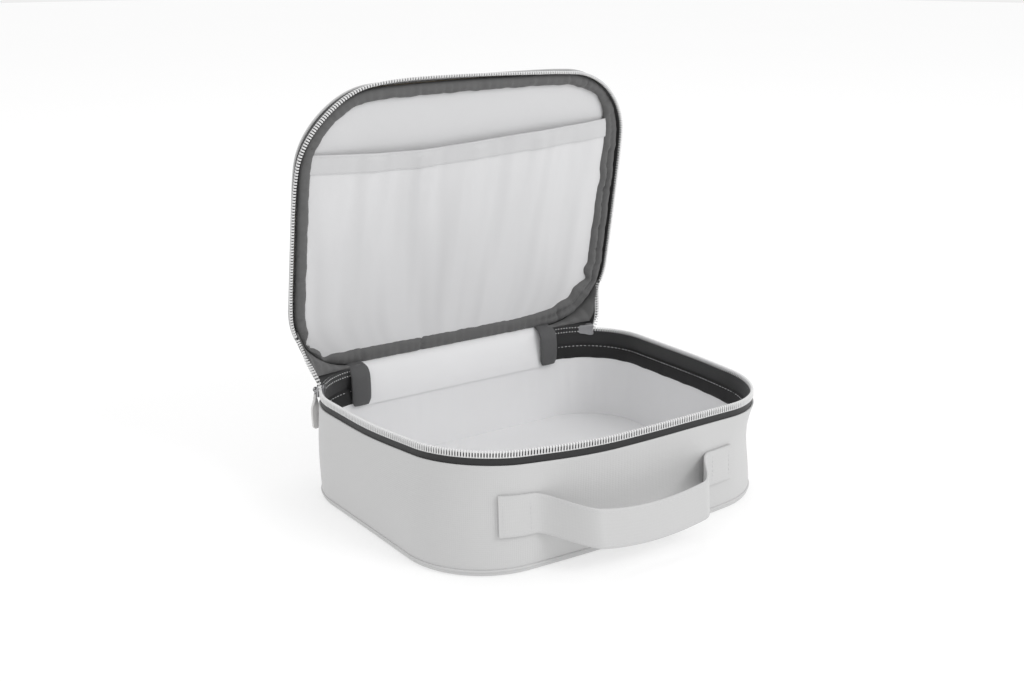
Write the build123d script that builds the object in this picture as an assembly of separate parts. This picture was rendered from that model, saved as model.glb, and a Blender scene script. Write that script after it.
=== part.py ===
"""A box-shaped toiletry bag of coated fabric over stiff foam, standing open with its lid up.

The bag's own frame is used: X to the right seen from the front, Y to the back, Z up, with the
origin at the centre of the base's resting face. The lid is built in its closed place, level with
the base, and is then turned up about its fabric hinge to the angle at which it stands.
"""

import math
import os

from build123d import *

# Outline that the base and the lid share, so that they close on each other
width = 280.0
depth = 218.0
rear_corner_radius = 52.0
front_corner_radius = 58.0
front_bow = 8.0

# Plies of the wall, from outside to inside
fabric = 1.2
foam = 2.5
lining = 0.6
ply_gap = 0.1
cut_runs = 6
foam_ease = 0.45

# Base
wall_height = 68.0
foam_drop = 14.5
floor_board = 2.0
welt = 1.4
welt_stand = 0.7
bottom_lip = 3.0
bottom_bevel = 1.6
binding = 1.0
binding_rise = 10.5

# Zip: one row of teeth on each tape, half a pitch apart
tape = 0.8
tape_reach = 6.0
tooth_root = 2.2
tooth_tip = 1.2
tooth_width = 2.0
tooth_depth = 2.0
tooth_pitch = 3.5
rear_straight = 4.0
zip_stop_length = 2.4
zip_stop_play = 0.3
zip_end_tab_shift = 2.0
zip_end_tab_width = 24.0
zip_end_tab_height = 25.0
zip_end_tab_stand = 1.8
zip_end_tab_cut = 4.0

# Sliders, each parked part of the way round a rear corner, with their pulls
left_park_angle = 35.0
right_park_angle = 55.0
slider_length = 12.0
slider_tail = 7.4
slider_mouth = 9.0
slider_plate = 1.0
slider_bevel = 0.9
slider_play = 0.45
mouth_start = 2.5
post_length = 2.2
eye_play = 0.25
eye_wall = 0.65
eye_cut = 0.75
bridge_radius = 0.7
bridge_stand = 1.95
bridge_length = 6.8
bridge_ear = 1.2
bridge_ear_margin = 0.2
link_width = 4.0
link_length = 9.0
link_plate = 1.2
pull_width = 8.0
pull_length = 26.0
pull_thickness = 1.8
pull_lap = 6.0
pull_cut = 2.0

# Lid
lid_angle = 81.0
lid_clearance = 5.0
lid_thickness = 7.1
lid_skirt = 3.8
lid_edge_bevel = 1.9
lid_tape_lap = 5.0
lid_board = 1.4
lid_binding = 1.6
lid_binding_width = 12.6
hinge_leaf = 0.6
hinge_lap = 6.0
hinge_gap = 0.3
hinge_end_gap = 2.0

# Pocket in the lid
pocket_mouth = 30.0
pocket_stand = 7.0
pocket_foot = 0.8
pocket_hem = 14.0

# Carrying handle on the front
strap_width = 29.0
strap = 2.2
handle_height = 38.0
handle_shift = -12.0
handle_half = 97.0
handle_free_half = 70.0
handle_run = 34.0
handle_stand = 29.0
handle_droop = 9.0
handle_pivot_stand = 9.0
handle_gap = 0.3
handle_seam_lift = 0.3

# Places worked out from the sizes above
half_width = width / 2
back = depth / 2
rear_corner_x = half_width - rear_corner_radius
rear_corner_y = back - rear_corner_radius
zip_end = rear_corner_x - rear_straight
zip_end_tab_at = zip_end + zip_end_tab_shift
hinge_half = zip_end - hinge_end_gap
bow_radius = (half_width**2 + front_bow**2) / (2 * front_bow)
bow_y = bow_radius - depth / 2
front_corner_x = half_width - front_corner_radius
front_corner_y = bow_y - math.sqrt((bow_radius - front_corner_radius) ** 2 - front_corner_x**2)
bow_half_angle = math.degrees(math.atan2(front_corner_x, bow_y - front_corner_y))

foam_out = fabric + ply_gap
foam_in = foam_out + foam
lining_out = foam_in + ply_gap
lining_in = lining_out + lining
tape_out = foam_out
tape_in = tape_out + tape
chain_inset = (tape_out + tape_in) / 2

foam_top = wall_height - foam_drop
wall_bottom = bottom_lip + welt + 2 * ply_gap
board_bottom = fabric + ply_gap
floor_bottom = board_bottom + floor_board + ply_gap
tape_top = wall_height + tape_reach
chain_z = tape_top + tooth_root
lid_bottom = chain_z + lid_clearance
lid_top = lid_bottom + lid_thickness
lid_tape_bottom = chain_z + tooth_root

hinge_y = back + ply_gap + hinge_leaf + hinge_gap / 2
hinge = Axis((0, hinge_y, chain_z), (-1, 0, 0))

chain_radius = rear_corner_radius - chain_inset


def rear_arc(side, inset, start):
    """A rear corner of the outline, moved inwards by inset."""
    return CenterArc((side * rear_corner_x, rear_corner_y), rear_corner_radius - inset, start, 90)


def front_arc(side, inset, start):
    """A front corner of the outline, moved inwards by inset."""
    sweep = 90 - bow_half_angle
    return CenterArc((side * front_corner_x, front_corner_y), front_corner_radius - inset, start, sweep)


def rim_edges(inset):
    """The outline from the rear left corner round the front to the rear right corner."""
    side = half_width - inset
    return [
        rear_arc(-1, inset, 90),
        Line((-side, rear_corner_y), (-side, front_corner_y)),
        front_arc(-1, inset, 180),
        CenterArc((0, bow_y), bow_radius - inset, 270 - bow_half_angle, 2 * bow_half_angle),
        front_arc(1, inset, 270 + bow_half_angle),
        Line((side, front_corner_y), (side, rear_corner_y)),
        rear_arc(1, inset, 0),
    ]


def outline(inset):
    """The closed outline of the bag, moved inwards by inset, as a face."""
    rear = Line((rear_corner_x, back - inset), (-rear_corner_x, back - inset))
    return make_face(rim_edges(inset) + [rear])


def prism(inset, bottom, top):
    """The bag's outline as a solid between two heights."""
    return Pos(0, 0, bottom) * extrude(outline(inset), top - bottom)


def cut_outline(inset):
    """The closed outline as boards and foam are cut, with its round parts in short straight runs."""
    points = []
    for edge in rim_edges(inset):
        runs = 1 if edge.geom_type == GeomType.LINE else cut_runs
        points += [edge @ (i / runs) for i in range(runs)]
    points.append(rim_edges(inset)[-1] @ 1)
    return make_face(Polyline(*points, close=True))


def cut_slab(inset, bottom, top):
    """A flat ply that is cut to the outline."""
    return Pos(0, 0, bottom) * extrude(cut_outline(inset), top - bottom)


def wall_foam():
    """The foam between the wall's outer cloth and its lining, a little thinner than the room for it."""
    plan = cut_outline(foam_out) - cut_outline(foam_in - foam_ease)
    return Pos(0, 0, floor_bottom) * extrude(plan, foam_top - floor_bottom)


def ring(outer, inner, bottom, top):
    """A wall ply that follows the outline."""
    return Pos(0, 0, bottom) * extrude(outline(outer) - outline(inner), top - bottom)


def slab(x0, x1, y0, y1, z0, z1):
    """A block between three pairs of coordinates."""
    centre = ((x0 + x1) / 2, (y0 + y1) / 2, (z0 + z1) / 2)
    return Pos(*centre) * Box(abs(x1 - x0), abs(y1 - y0), abs(z1 - z0))


def rear_cut(half, bottom, top):
    """The space over the fabric hinge, where the zip doesn't run."""
    return slab(-half, half, rear_corner_y, back + rear_corner_radius, bottom, top)


def profile_along_x(points, x0, x1):
    """A closed outline in the YZ plane, carried along X."""
    face = make_face(Polyline(*[(0, y, z) for y, z in points], close=True))
    return Pos(x0, 0, 0) * extrude(face, x1 - x0, dir=(1, 0, 0))


def bent_ply(points, thickness, half):
    """A ply of fabric along X that follows a few points in the YZ plane, with its thickness inwards."""
    inner = [(y - thickness, z) for y, z in reversed(points)]
    return profile_along_x(points + inner, -half, half)


def at_height(edges, z):
    """Edges whose whole length lies at one height."""
    low, high = z - 0.01, z + 0.01
    return [e for e in edges if low < e.bounding_box().min.Z and e.bounding_box().max.Z < high]


def mirrored(shape):
    """The same piece on the bag's left side."""
    return mirror(shape, Plane.YZ)


def bottom_panel():
    """The fabric underside, a shallow tray whose lip turns up to the welt."""
    tray = prism(0, 0, bottom_lip) - prism(fabric, fabric, bottom_lip)
    return chamfer(at_height(tray.edges(), 0), bottom_bevel)


def bottom_welt():
    """The corded seam round the bottom, which stands out a little from the wall."""
    low = bottom_lip + ply_gap
    return ring(-welt_stand, fabric, low, low + welt)


def wall_binding():
    """The dark band inside the rim, which stands on the foam and leans out to the tape above it."""
    low = foam_top + 2 * ply_gap
    top = foam_top + binding_rise
    start = lining_in + ply_gap
    end = tape_in + ply_gap
    band = cone(start, end, low, top) - cone(start + binding, end + binding, low, top)
    return band - rear_cut(zip_end, low, top)


def cone(inset_below, inset_above, bottom, top):
    """The outline as a solid whose walls lean."""
    lower = Pos(0, 0, bottom) * outline(inset_below)
    upper = Pos(0, 0, top) * outline(inset_above)
    return loft([lower, upper], ruled=True)


def chain_path():
    """The line of the zip's teeth, from the rear left round the front to the rear right."""
    y = back - chain_inset
    first = Line((-zip_end, y), (-rear_corner_x, y))
    last = Line((rear_corner_x, y), (zip_end, y))
    return Wire([first] + rim_edges(chain_inset) + [last])


def tooth_wedge(direction):
    """A tooth with its length along X, its foot on the tape and its tip past the chain's line."""
    half = tooth_width / 2
    foot = -direction * tooth_root
    points = [(-half, 0, foot), (half, 0, foot), (0, 0, direction * tooth_tip)]
    return across(make_face(Polyline(*points, close=True)), -tooth_depth / 2, tooth_depth / 2)


def teeth(path, shift, direction, gaps):
    """One row of teeth along the path, pointing up from the base's tape or down from the lid's."""
    wedge = tooth_wedge(direction)
    margin = zip_stop_length + 2 * zip_stop_play + tooth_width / 2
    row = []
    at = margin + shift
    while at < path.length - margin:
        if all(abs(at - gap) > slider_length / 2 + tooth_width for gap in gaps):
            spot = path.position_at(at, position_mode=PositionMode.LENGTH)
            way = path.tangent_at(at, position_mode=PositionMode.LENGTH)
            turn = math.degrees(math.atan2(way.Y, way.X))
            tooth = Pos(spot.X, spot.Y, chain_z) * Rot(0, 0, turn) * wedge
            row.append(tooth.solid())
        at += tooth_pitch
    return Compound(row)


def parked_lengths(path):
    """How far along the path the two parked sliders are."""
    left = rear_straight + math.radians(90 - left_park_angle) * chain_radius
    right = rear_straight + math.radians(90 - right_park_angle) * chain_radius
    return [left, path.length - right]


def lid_tape():
    """The lid's zip tape, notched where a parked slider reaches up to it."""
    band = ring(tape_out, tape_in, lid_tape_bottom, lid_bottom + lid_tape_lap)
    band -= rear_cut(zip_end, lid_tape_bottom, lid_top)
    notch_length = slider_length + 2 * tooth_width
    notch_top = chain_z + slider_mouth / 2 + ply_gap
    notch = slab(-notch_length / 2, notch_length / 2, -2, 2, lid_tape_bottom - chain_z, notch_top - chain_z)
    return band - slider_place(right_park_angle) * notch - mirrored(slider_place(left_park_angle) * notch)


def slider_place(park_angle):
    """A slider's place on the right rear corner, with local X forwards along the chain and Y outwards."""
    turn = math.radians(park_angle)
    park_x = rear_corner_x + chain_radius * math.cos(turn)
    park_y = rear_corner_y + chain_radius * math.sin(turn)
    return Pos(park_x, park_y, chain_z) * Rot(0, 0, park_angle - 90)


def slider_profile():
    """The slider seen from outside, narrow at its tail and wide at its mouth."""
    tail = slider_tail / 2
    mouth = slider_mouth / 2
    end = slider_length / 2
    points = [(-end, -tail), (0, -tail), (mouth_start, -mouth), (end, -mouth)]
    points += [(x, -z) for x, z in reversed(points)]
    face = make_face(Polyline(*[(x, 0, z) for x, z in points], close=True))
    corners = [v for v in face.vertices() if abs(abs(v.X) - end) < 0.01]
    return chamfer(corners, slider_bevel)


def across(face, y0, y1):
    """A face in the XZ plane, carried from one Y to another."""
    return Pos(0, y0, 0) * extrude(face, y1 - y0, dir=(0, 1, 0))


def slider_body():
    """Two plates with turned-in edges round the teeth, a post between the mouths and a bridge."""
    cavity = tooth_depth / 2 + slider_play
    slot = tape / 2 + slider_play
    plate_face = slider_profile()
    channel = slab(-slider_length, slider_length, -cavity, cavity, -tooth_root - 0.3, tooth_root + 0.3)
    outer = across(plate_face, slot, cavity + slider_plate) - channel
    inner = across(plate_face, -cavity - slider_plate, -slot) - channel
    post_end = slider_length / 2 - 0.8
    post = slab(
        post_end - post_length, post_end, -cavity, cavity, tooth_tip + 0.3, slider_mouth / 2 - 0.4
    )
    return outer + inner + post + slider_bridge(cavity + slider_plate)


def slider_bridge(face_y):
    """The bar along the slider that carries the pull, with an ear at each end."""
    bar_y = face_y + bridge_stand
    reach = bridge_length / 2
    bar = Pos(0, bar_y, 0) * Rot(0, 90, 0) * Cylinder(bridge_radius, bridge_length)
    thick = bridge_radius + bridge_ear_margin
    ear = slab(-bridge_ear / 2, bridge_ear / 2, face_y - 0.2, bar_y + thick, -thick, thick)
    offset_x = reach - bridge_ear / 2
    return bar + Pos(offset_x, 0, 0) * ear + Pos(-offset_x, 0, 0) * ear


def bridge_y():
    """How far outside the chain's line the bridge's axis lies."""
    return tooth_depth / 2 + slider_play + slider_plate + bridge_stand


def pull_link():
    """The metal eye that turns on the bridge, with the plate that the fabric pull is sewn round."""
    bore = bridge_radius + eye_play
    eye_size = 2 * (bore + eye_wall)
    eye = chamfer(Box(link_width, eye_size, eye_size).edges().filter_by(Axis.X), eye_cut)
    plate = slab(-link_width / 2, link_width / 2, -link_plate / 2, link_plate / 2, -link_length, 0)
    link = eye + plate - Rot(0, 90, 0) * Cylinder(bore, 2 * link_width)
    return Pos(0, bridge_y(), 0) * link


def pull_tab():
    """The fabric pull, folded round the link's plate."""
    top = -link_length + pull_lap
    half = pull_width / 2
    body = slab(-half, half, -pull_thickness / 2, pull_thickness / 2, top - pull_length, top)
    body = chamfer(body.edges().filter_by(Axis.Y).group_by(Axis.Z)[0], pull_cut)
    room = link_width / 2 + ply_gap
    room_y = link_plate / 2 + ply_gap
    seat = slab(-room, room, -room_y, room_y, -link_length - ply_gap, top)
    return Pos(0, bridge_y(), 0) * (body - seat)


def zip_stop():
    """The stop that ends the right side's teeth, under the fabric tab."""
    y = back - chain_inset
    x0 = zip_end + zip_stop_play
    x1 = x0 + zip_stop_length
    half = tooth_depth / 2
    return slab(x0, x1, y - half, y + half, tape_top + ply_gap, chain_z + tooth_tip)


def zip_end_tab():
    """The fabric tab inside the rim that covers the right end of the zip."""
    y = back - lining_in - binding - ply_gap - zip_end_tab_stand
    top = chain_z - 1.0
    low = top - zip_end_tab_height
    body = slab(
        zip_end_tab_at - zip_end_tab_width / 2,
        zip_end_tab_at + zip_end_tab_width / 2,
        y - binding,
        y,
        low,
        top,
    )
    return chamfer(body.edges().filter_by(Axis.Y).group_by(Axis.Z)[0], zip_end_tab_cut)


def hinge_panel_base():
    """The base's part of the outer fabric hinge, sewn over the top of the rear wall."""
    y = back + ply_gap
    return slab(-hinge_half, hinge_half, y, y + hinge_leaf, wall_height - hinge_lap, chain_z - hinge_gap)


def hinge_panel_lid():
    """The lid's part of the outer fabric hinge, in its closed place."""
    y = back + ply_gap
    return slab(-hinge_half, hinge_half, y, y + hinge_leaf, chain_z + hinge_gap, lid_bottom + hinge_lap - 1)


def hinge_lining_base():
    """The lining that runs up from the rear wall to the fold."""
    y = back - lining_in - ply_gap
    half = zip_end_tab_at - zip_end_tab_width / 2 - 1
    rise = [(y, foam_top - 8), (y, foam_top + 1), (back - 0.6, chain_z - 2.2), (back - 0.6, chain_z - 0.8)]
    return bent_ply(rise, lining, half)


def hinge_lining_lid():
    """The lining from the fold to the lid's binding, in its closed place."""
    half = zip_end_tab_at - zip_end_tab_width / 2 - 1
    rise = [(back - 0.6, chain_z + 0.8), (back - 0.6, lid_bottom - 1.6), (back - 2.4, lid_bottom - ply_gap)]
    return bent_ply(rise, lining, half)


def lid_panel():
    """The outer fabric of the lid, a shallow pan whose skirt laps over the zip tape."""
    low = lid_top - lid_skirt
    pan = prism(0, low, lid_top) - prism(fabric, low, lid_top - fabric)
    return chamfer(at_height(pan.edges(), lid_top), lid_edge_bevel)


def lid_band():
    """The puckered binding inside the lid's edge."""
    outer = tape_in + hinge_gap
    return ring(outer, outer + lid_binding_width, lid_bottom, lid_bottom + lid_binding)


def pocket_wedge(inset, y_from, extra):
    """The space that the pocket takes under the lid's lining, deep at its mouth and shallow behind."""
    top = lid_lining_bottom - ply_gap
    rear = back - inset
    face = [
        (y_from, top),
        (y_from, top - pocket_stand - extra),
        (rear, top - pocket_foot - extra),
        (rear, top),
    ]
    return profile_along_x(face, -half_width, half_width) & prism(inset, lid_bottom - 20, lid_top)


lid_lining_bottom = lid_bottom + lid_binding + ply_gap
lid_foam_bottom = lid_lining_bottom + lining + ply_gap
lid_board_bottom = lid_top - fabric - ply_gap - lid_board
pocket_inset = tape_in + hinge_gap + lid_binding_width + 0.4
pocket_y = -depth / 2 + pocket_inset + pocket_mouth


def pocket_panel():
    """The pocket's thin fabric front and sides, open towards the lid's free edge."""
    outer = pocket_wedge(pocket_inset, pocket_y, 0)
    inner = pocket_wedge(pocket_inset + lining, pocket_y - 1, -lining)
    return outer - inner


def pocket_hem_band():
    """The wide hem along the pocket's mouth."""
    outer = pocket_wedge(pocket_inset, pocket_y, lining + ply_gap)
    inner = pocket_wedge(pocket_inset - 1, pocket_y - 1, ply_gap)
    behind = slab(-half_width, half_width, pocket_y + pocket_hem, back, lid_bottom - 20, lid_top)
    return outer - inner - behind


handle_turn = 2 * math.degrees(math.atan2(handle_stand, handle_run))
handle_bend = handle_run / (2 * math.sin(math.radians(handle_turn)))
pivot_turn = math.degrees(math.acos(1 - handle_pivot_stand / handle_bend))
pivot_x = handle_free_half - handle_bend * math.sin(math.radians(pivot_turn))
nearer_seam = handle_free_half - abs(handle_shift)
seam_y = bow_y - math.sqrt(bow_radius**2 - nearer_seam**2)
strap_wall_y = seam_y - ply_gap - handle_seam_lift - strap / 2


def strap_edges(side):
    """One face of the strap seen from above, from its left seam over the loop to its right seam."""
    near = handle_bend - side
    far = handle_bend + side
    bend_y = strap_wall_y - handle_bend
    crest_x = handle_free_half - handle_run
    crest_y = strap_wall_y - handle_stand + handle_bend
    crest = crest_y - handle_bend - side
    return [
        CenterArc((-handle_free_half, bend_y), near, 90, -handle_turn),
        CenterArc((-crest_x, crest_y), far, 270 - handle_turn, handle_turn),
        Line((-crest_x, crest), (crest_x, crest)),
        CenterArc((crest_x, crest_y), far, 270, handle_turn),
        CenterArc((handle_free_half, bend_y), near, 90 + handle_turn, -handle_turn),
    ]


def strap_loop():
    """The whole standing part of the strap, cut from its plan and its drooping front view."""
    outer = strap_edges(strap / 2)
    inner = strap_edges(-strap / 2)
    ends = [
        Line(outer[0] @ 0, inner[0] @ 0),
        Line(outer[-1] @ 1, inner[-1] @ 1),
    ]
    plan = make_face(outer + inner + ends)
    upright = Pos(0, 0, -2 * strap_width) * extrude(plan, 4 * strap_width)
    return Pos(handle_shift, 0, handle_height) * (upright & strap_front_view())


def strap_front_view():
    """The strap's drooping outline seen from the front, carried along Y."""
    half = handle_free_half
    top = strap_width / 2
    arc_over = ThreePointArc((-half, 0, top), (0, 0, top - handle_droop), (half, 0, top))
    arc_under = ThreePointArc((-half, 0, -top), (0, 0, -top - handle_droop), (half, 0, -top))
    ends = [Line(arc_over @ 0, arc_under @ 0), Line(arc_over @ 1, arc_under @ 1)]
    face = make_face([arc_over, arc_under] + ends)
    return Pos(0, -2 * depth, 0) * extrude(face, 4 * depth, dir=(0, 1, 0))


def sewn_end(side):
    """The flat end of the strap on one side, which follows the wall."""
    top = strap_width / 2
    lap = ring(-ply_gap - strap, -ply_gap, handle_height - top, handle_height + top)
    x0 = handle_shift + side * (handle_free_half - 1)
    x1 = handle_shift + side * handle_half
    return lap & slab(x0, x1, -depth, 0, 0, wall_height)


def handle_piece(side):
    """A sewn end with the first part of its bend, on the left for -1 and on the right for 1."""
    near = handle_shift + side * (pivot_x + handle_gap / 2)
    zone = slab(near, side * half_width, -depth, 0, 0, wall_height)
    return (strap_loop() & zone) + sewn_end(side)


def handle_loop():
    """The part of the strap that swings, between its two bends."""
    reach = pivot_x - handle_gap / 2
    return strap_loop() & slab(handle_shift - reach, handle_shift + reach, -depth, 0, 0, wall_height)


def base_pieces(path):
    """The nodes of the base, by name."""
    pieces = {
        "base_bottom_panel": bottom_panel(),
        "bottom_welt": bottom_welt(),
        "base_outer_wall": ring(0, fabric, wall_bottom, wall_height),
        "base_bottom_board": cut_slab(foam_out, board_bottom, board_bottom + floor_board),
        "base_wall_foam": wall_foam(),
        "base_floor_lining": cut_slab(lining_out, floor_bottom, floor_bottom + lining),
        "base_wall_lining": ring(
            lining_out, lining_in, floor_bottom + lining + ply_gap, foam_top - ply_gap
        ),
        "base_binding": wall_binding(),
        "base_zip_tape": ring(tape_out, tape_in, foam_top + ply_gap, tape_top)
        - rear_cut(zip_end, foam_top, chain_z),
        "base_zip_teeth": teeth(path, 0, 1, []),
        "hinge_panel_base": hinge_panel_base(),
        "hinge_lining_base": hinge_lining_base(),
    }
    for name, side in (("left", -1), ("right", 1)):
        turned = mirrored if side < 0 else keep
        pieces["zip_stop_" + name] = turned(zip_stop())
        pieces["zip_end_tab_" + name] = turned(zip_end_tab())
        pieces["handle_end_" + name] = handle_piece(side)
    return pieces


def keep(shape):
    """The piece as it is, on the bag's right side."""
    return shape


def lid_pieces(path):
    """The nodes of the lid, by name, turned up from the closed place to the rest angle."""
    inner = tape_in + hinge_gap
    closed = {
        "lid_outer_panel": lid_panel(),
        "lid_board": cut_slab(inner, lid_board_bottom, lid_board_bottom + lid_board),
        "lid_foam": cut_slab(inner, lid_foam_bottom, lid_board_bottom - ply_gap),
        "lid_lining": cut_slab(inner, lid_lining_bottom, lid_lining_bottom + lining),
        "lid_binding": lid_band(),
        "lid_zip_tape": lid_tape(),
        "lid_zip_teeth": teeth(path, tooth_pitch / 2, -1, parked_lengths(path)),
        "lid_pocket_panel": pocket_panel(),
        "lid_pocket_hem": pocket_hem_band(),
        "hinge_panel_lid": hinge_panel_lid(),
        "hinge_lining_lid": hinge_lining_lid(),
    }
    return {name: piece.rotate(hinge, lid_angle) for name, piece in closed.items()}


def slider_pieces():
    """The two sliders with their links and pulls, by name."""
    pieces = {}
    for name, turned, angle in (("left", mirrored, left_park_angle), ("right", keep, right_park_angle)):
        place = slider_place(angle)
        pieces["slider_" + name] = turned(place * slider_body())
        pieces["pull_link_" + name] = turned(place * pull_link())
        pieces["pull_tab_" + name] = turned(place * pull_tab())
    return pieces


def main():
    path = chain_path()
    pieces = base_pieces(path) | lid_pieces(path) | slider_pieces()
    pieces["handle_strap"] = handle_loop()
    os.makedirs("parts", exist_ok=True)
    for name, piece in pieces.items():
        export_step(piece, f"parts/{name}.step")


main()
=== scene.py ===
# %% [markdown]
# # A toiletry bag that stands open
# The bag is two shallow fabric boxes that share one outline: a base and a lid, joined at the back by a
# fabric hinge and along the other three sides by a zip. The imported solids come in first, as a frame.
# Every piece below is built round that frame, in metres.

# %% The frame
import math

import bmesh
import bpy
from mathutils import Matrix, Vector
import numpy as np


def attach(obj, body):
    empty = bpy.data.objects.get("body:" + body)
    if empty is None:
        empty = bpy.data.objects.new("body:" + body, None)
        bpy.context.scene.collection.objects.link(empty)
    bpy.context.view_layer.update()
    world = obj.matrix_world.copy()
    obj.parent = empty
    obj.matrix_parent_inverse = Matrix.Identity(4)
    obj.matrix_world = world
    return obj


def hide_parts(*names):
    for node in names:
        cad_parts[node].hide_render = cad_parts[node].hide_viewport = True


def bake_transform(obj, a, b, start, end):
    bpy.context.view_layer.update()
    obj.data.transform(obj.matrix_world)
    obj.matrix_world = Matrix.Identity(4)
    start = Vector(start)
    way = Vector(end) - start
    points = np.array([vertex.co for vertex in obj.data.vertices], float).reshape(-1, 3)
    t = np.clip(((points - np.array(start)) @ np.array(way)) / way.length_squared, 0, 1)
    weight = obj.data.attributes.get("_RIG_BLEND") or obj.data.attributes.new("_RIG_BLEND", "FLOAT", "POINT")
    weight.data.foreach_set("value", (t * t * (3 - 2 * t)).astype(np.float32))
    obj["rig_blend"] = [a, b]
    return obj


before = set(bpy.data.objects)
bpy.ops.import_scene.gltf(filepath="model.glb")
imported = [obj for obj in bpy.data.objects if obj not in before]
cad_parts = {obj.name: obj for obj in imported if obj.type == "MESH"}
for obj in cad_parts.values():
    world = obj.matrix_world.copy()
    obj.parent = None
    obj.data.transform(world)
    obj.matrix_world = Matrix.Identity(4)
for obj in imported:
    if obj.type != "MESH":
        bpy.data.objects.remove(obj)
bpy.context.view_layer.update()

MM = 0.001

# %% [markdown]
# ## The outline that everything follows
# Walls, zip, bindings and linings all run round the same rounded rectangle with a slightly bowed front.
# It could be drawn as a curve, but a small function that gives a point at any distance round the rim is
# handier: s is counted in millimetres from the middle of the back, going left, and out is the distance
# outwards from the bag's face.

# %% The rim
HALF_WIDTH = 140.0
BACK = 109.0
REAR_CORNER = 52.0
FRONT_CORNER = 58.0
FRONT_BOW = 8.0
REAR_X = HALF_WIDTH - REAR_CORNER
REAR_Y = BACK - REAR_CORNER
BOW_RADIUS = (HALF_WIDTH**2 + FRONT_BOW**2) / (2 * FRONT_BOW)
BOW_Y = BOW_RADIUS - BACK
FRONT_X = HALF_WIDTH - FRONT_CORNER
FRONT_Y = BOW_Y - math.sqrt((BOW_RADIUS - FRONT_CORNER) ** 2 - FRONT_X**2)
BOW_ANGLE = math.atan2(FRONT_X, BOW_Y - FRONT_Y)
REAR_ARC = REAR_CORNER * math.pi / 2
FRONT_ARC = FRONT_CORNER * (math.pi / 2 - BOW_ANGLE)
SIDE = REAR_Y - FRONT_Y
HALF_RIM = REAR_X + REAR_ARC + SIDE + FRONT_ARC + BOW_RADIUS * BOW_ANGLE
RIM = 2 * HALF_RIM
NEAR_CORNER = REAR_X + REAR_ARC + SIDE + FRONT_ARC / 2
FAR_CORNER = RIM - NEAR_CORNER


def rim(s):
    """Point and outward direction at a distance s round the rim."""
    s = s % RIM
    side = -1.0
    if s > HALF_RIM:
        s, side = RIM - s, 1.0
    if s < REAR_X:
        return side * s, BACK, 0.0, 1.0
    s -= REAR_X
    if s < REAR_ARC:
        turn = s / REAR_CORNER
        nx, ny = math.sin(turn), math.cos(turn)
        return side * (REAR_X + REAR_CORNER * nx), REAR_Y + REAR_CORNER * ny, side * nx, ny
    s -= REAR_ARC
    if s < SIDE:
        return side * HALF_WIDTH, REAR_Y - s, side, 0.0
    s -= SIDE
    if s < FRONT_ARC:
        turn = s / FRONT_CORNER
        nx, ny = math.cos(turn), -math.sin(turn)
        return side * (FRONT_X + FRONT_CORNER * nx), FRONT_Y + FRONT_CORNER * ny, side * nx, ny
    turn = BOW_ANGLE - (s - FRONT_ARC) / BOW_RADIUS
    nx, ny = math.sin(turn), -math.cos(turn)
    return side * BOW_RADIUS * nx, BOW_Y + BOW_RADIUS * ny, side * nx, ny


def rim_at(side, s):
    """The same distance from the hinge on the left or the right side."""
    return s if side == "left" else RIM - s


def clamp(t):
    return min(max(t, 0.0), 1.0)


def smooth(t):
    """Goes from 0 to 1 with a soft start and a soft end."""
    t = clamp(t)
    return t * t * (3 - 2 * t)


def hump(s, centre, reach):
    """1 at the centre, falling softly to 0 at the reach, counted round the rim."""
    d = abs((s - centre + RIM / 2) % RIM - RIM / 2)
    return 0.5 + 0.5 * math.cos(math.pi * d / reach) if d < reach else 0.0


print("rim length", round(RIM, 1), "mm")

# %% [markdown]
# ## How the soft walls sway
# The real walls are foam between cloth. They swell a little at half height. The near front corner is
# drawn in and up at the rim, and the far one is drawn in at half height and sags. One could push the
# walls about with proportional editing. One function does it here, so that all plies move together and
# stay clear of each other. The lid keeps a straighter front edge, because its board holds it flat.

# %% Places on the base and on the lid
HINGE_Y = 109.85
HINGE_Z = 76.2
LID_TURN = math.radians(81)
WALL_TOP = 68.3
TAPE_SEWN = 85.5
TAPE_HANG = 9.0


def sway(s, z):
    """How far the wall stands out of its straight line at a height."""
    t = clamp(z / WALL_TOP)
    high = smooth(t)
    swell = 1.3 * math.sin(math.pi * t) ** 1.4
    near = hump(s, NEAR_CORNER, 110) * (-6.5 * high + 0.8 * (1 - high))
    waist = math.sin(math.pi * t**1.6)
    far = hump(s, FAR_CORNER, 85) * (1.2 * high**4 - 1.9 - 4.6 * waist)
    return swell + near + far


def lift(s, z):
    """How far the wall's upper part is pulled up or pushed down."""
    high = clamp(z / WALL_TOP) ** 1.5
    return high * (3.6 * hump(s, NEAR_CORNER, 120) - 1.8 * hump(s, FAR_CORNER, 90))


def on_base(s, out, z):
    """A place on the base, at a distance outwards from its face."""
    x, y, nx, ny = rim(s)
    out += sway(s, z)
    return Vector((x + nx * out, y + ny * out, z + lift(s, z)))


def raised(p):
    """A place on the closed lid, turned up to where the open lid stands."""
    y, z = p.y - HINGE_Y, p.z - HINGE_Z
    c, d = math.cos(LID_TURN), math.sin(LID_TURN)
    return Vector((p.x, HINGE_Y + y * c + z * d, HINGE_Z - y * d + z * c))


def on_closed_lid(s, out, z):
    """A place on the shut lid. Most of the front's bow is taken out of it again."""
    x, y, nx, ny = rim(s)
    out -= 2.2 * hump(s, FAR_CORNER, 70) + 3.6 * hump(s, NEAR_CORNER, 60)
    x, y = x + nx * out, y + ny * out
    bow = 0.7 * FRONT_BOW * (1 - (x / HALF_WIDTH) ** 2)
    return Vector((x, y + bow * smooth((40 - y) / 120), z))


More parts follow.
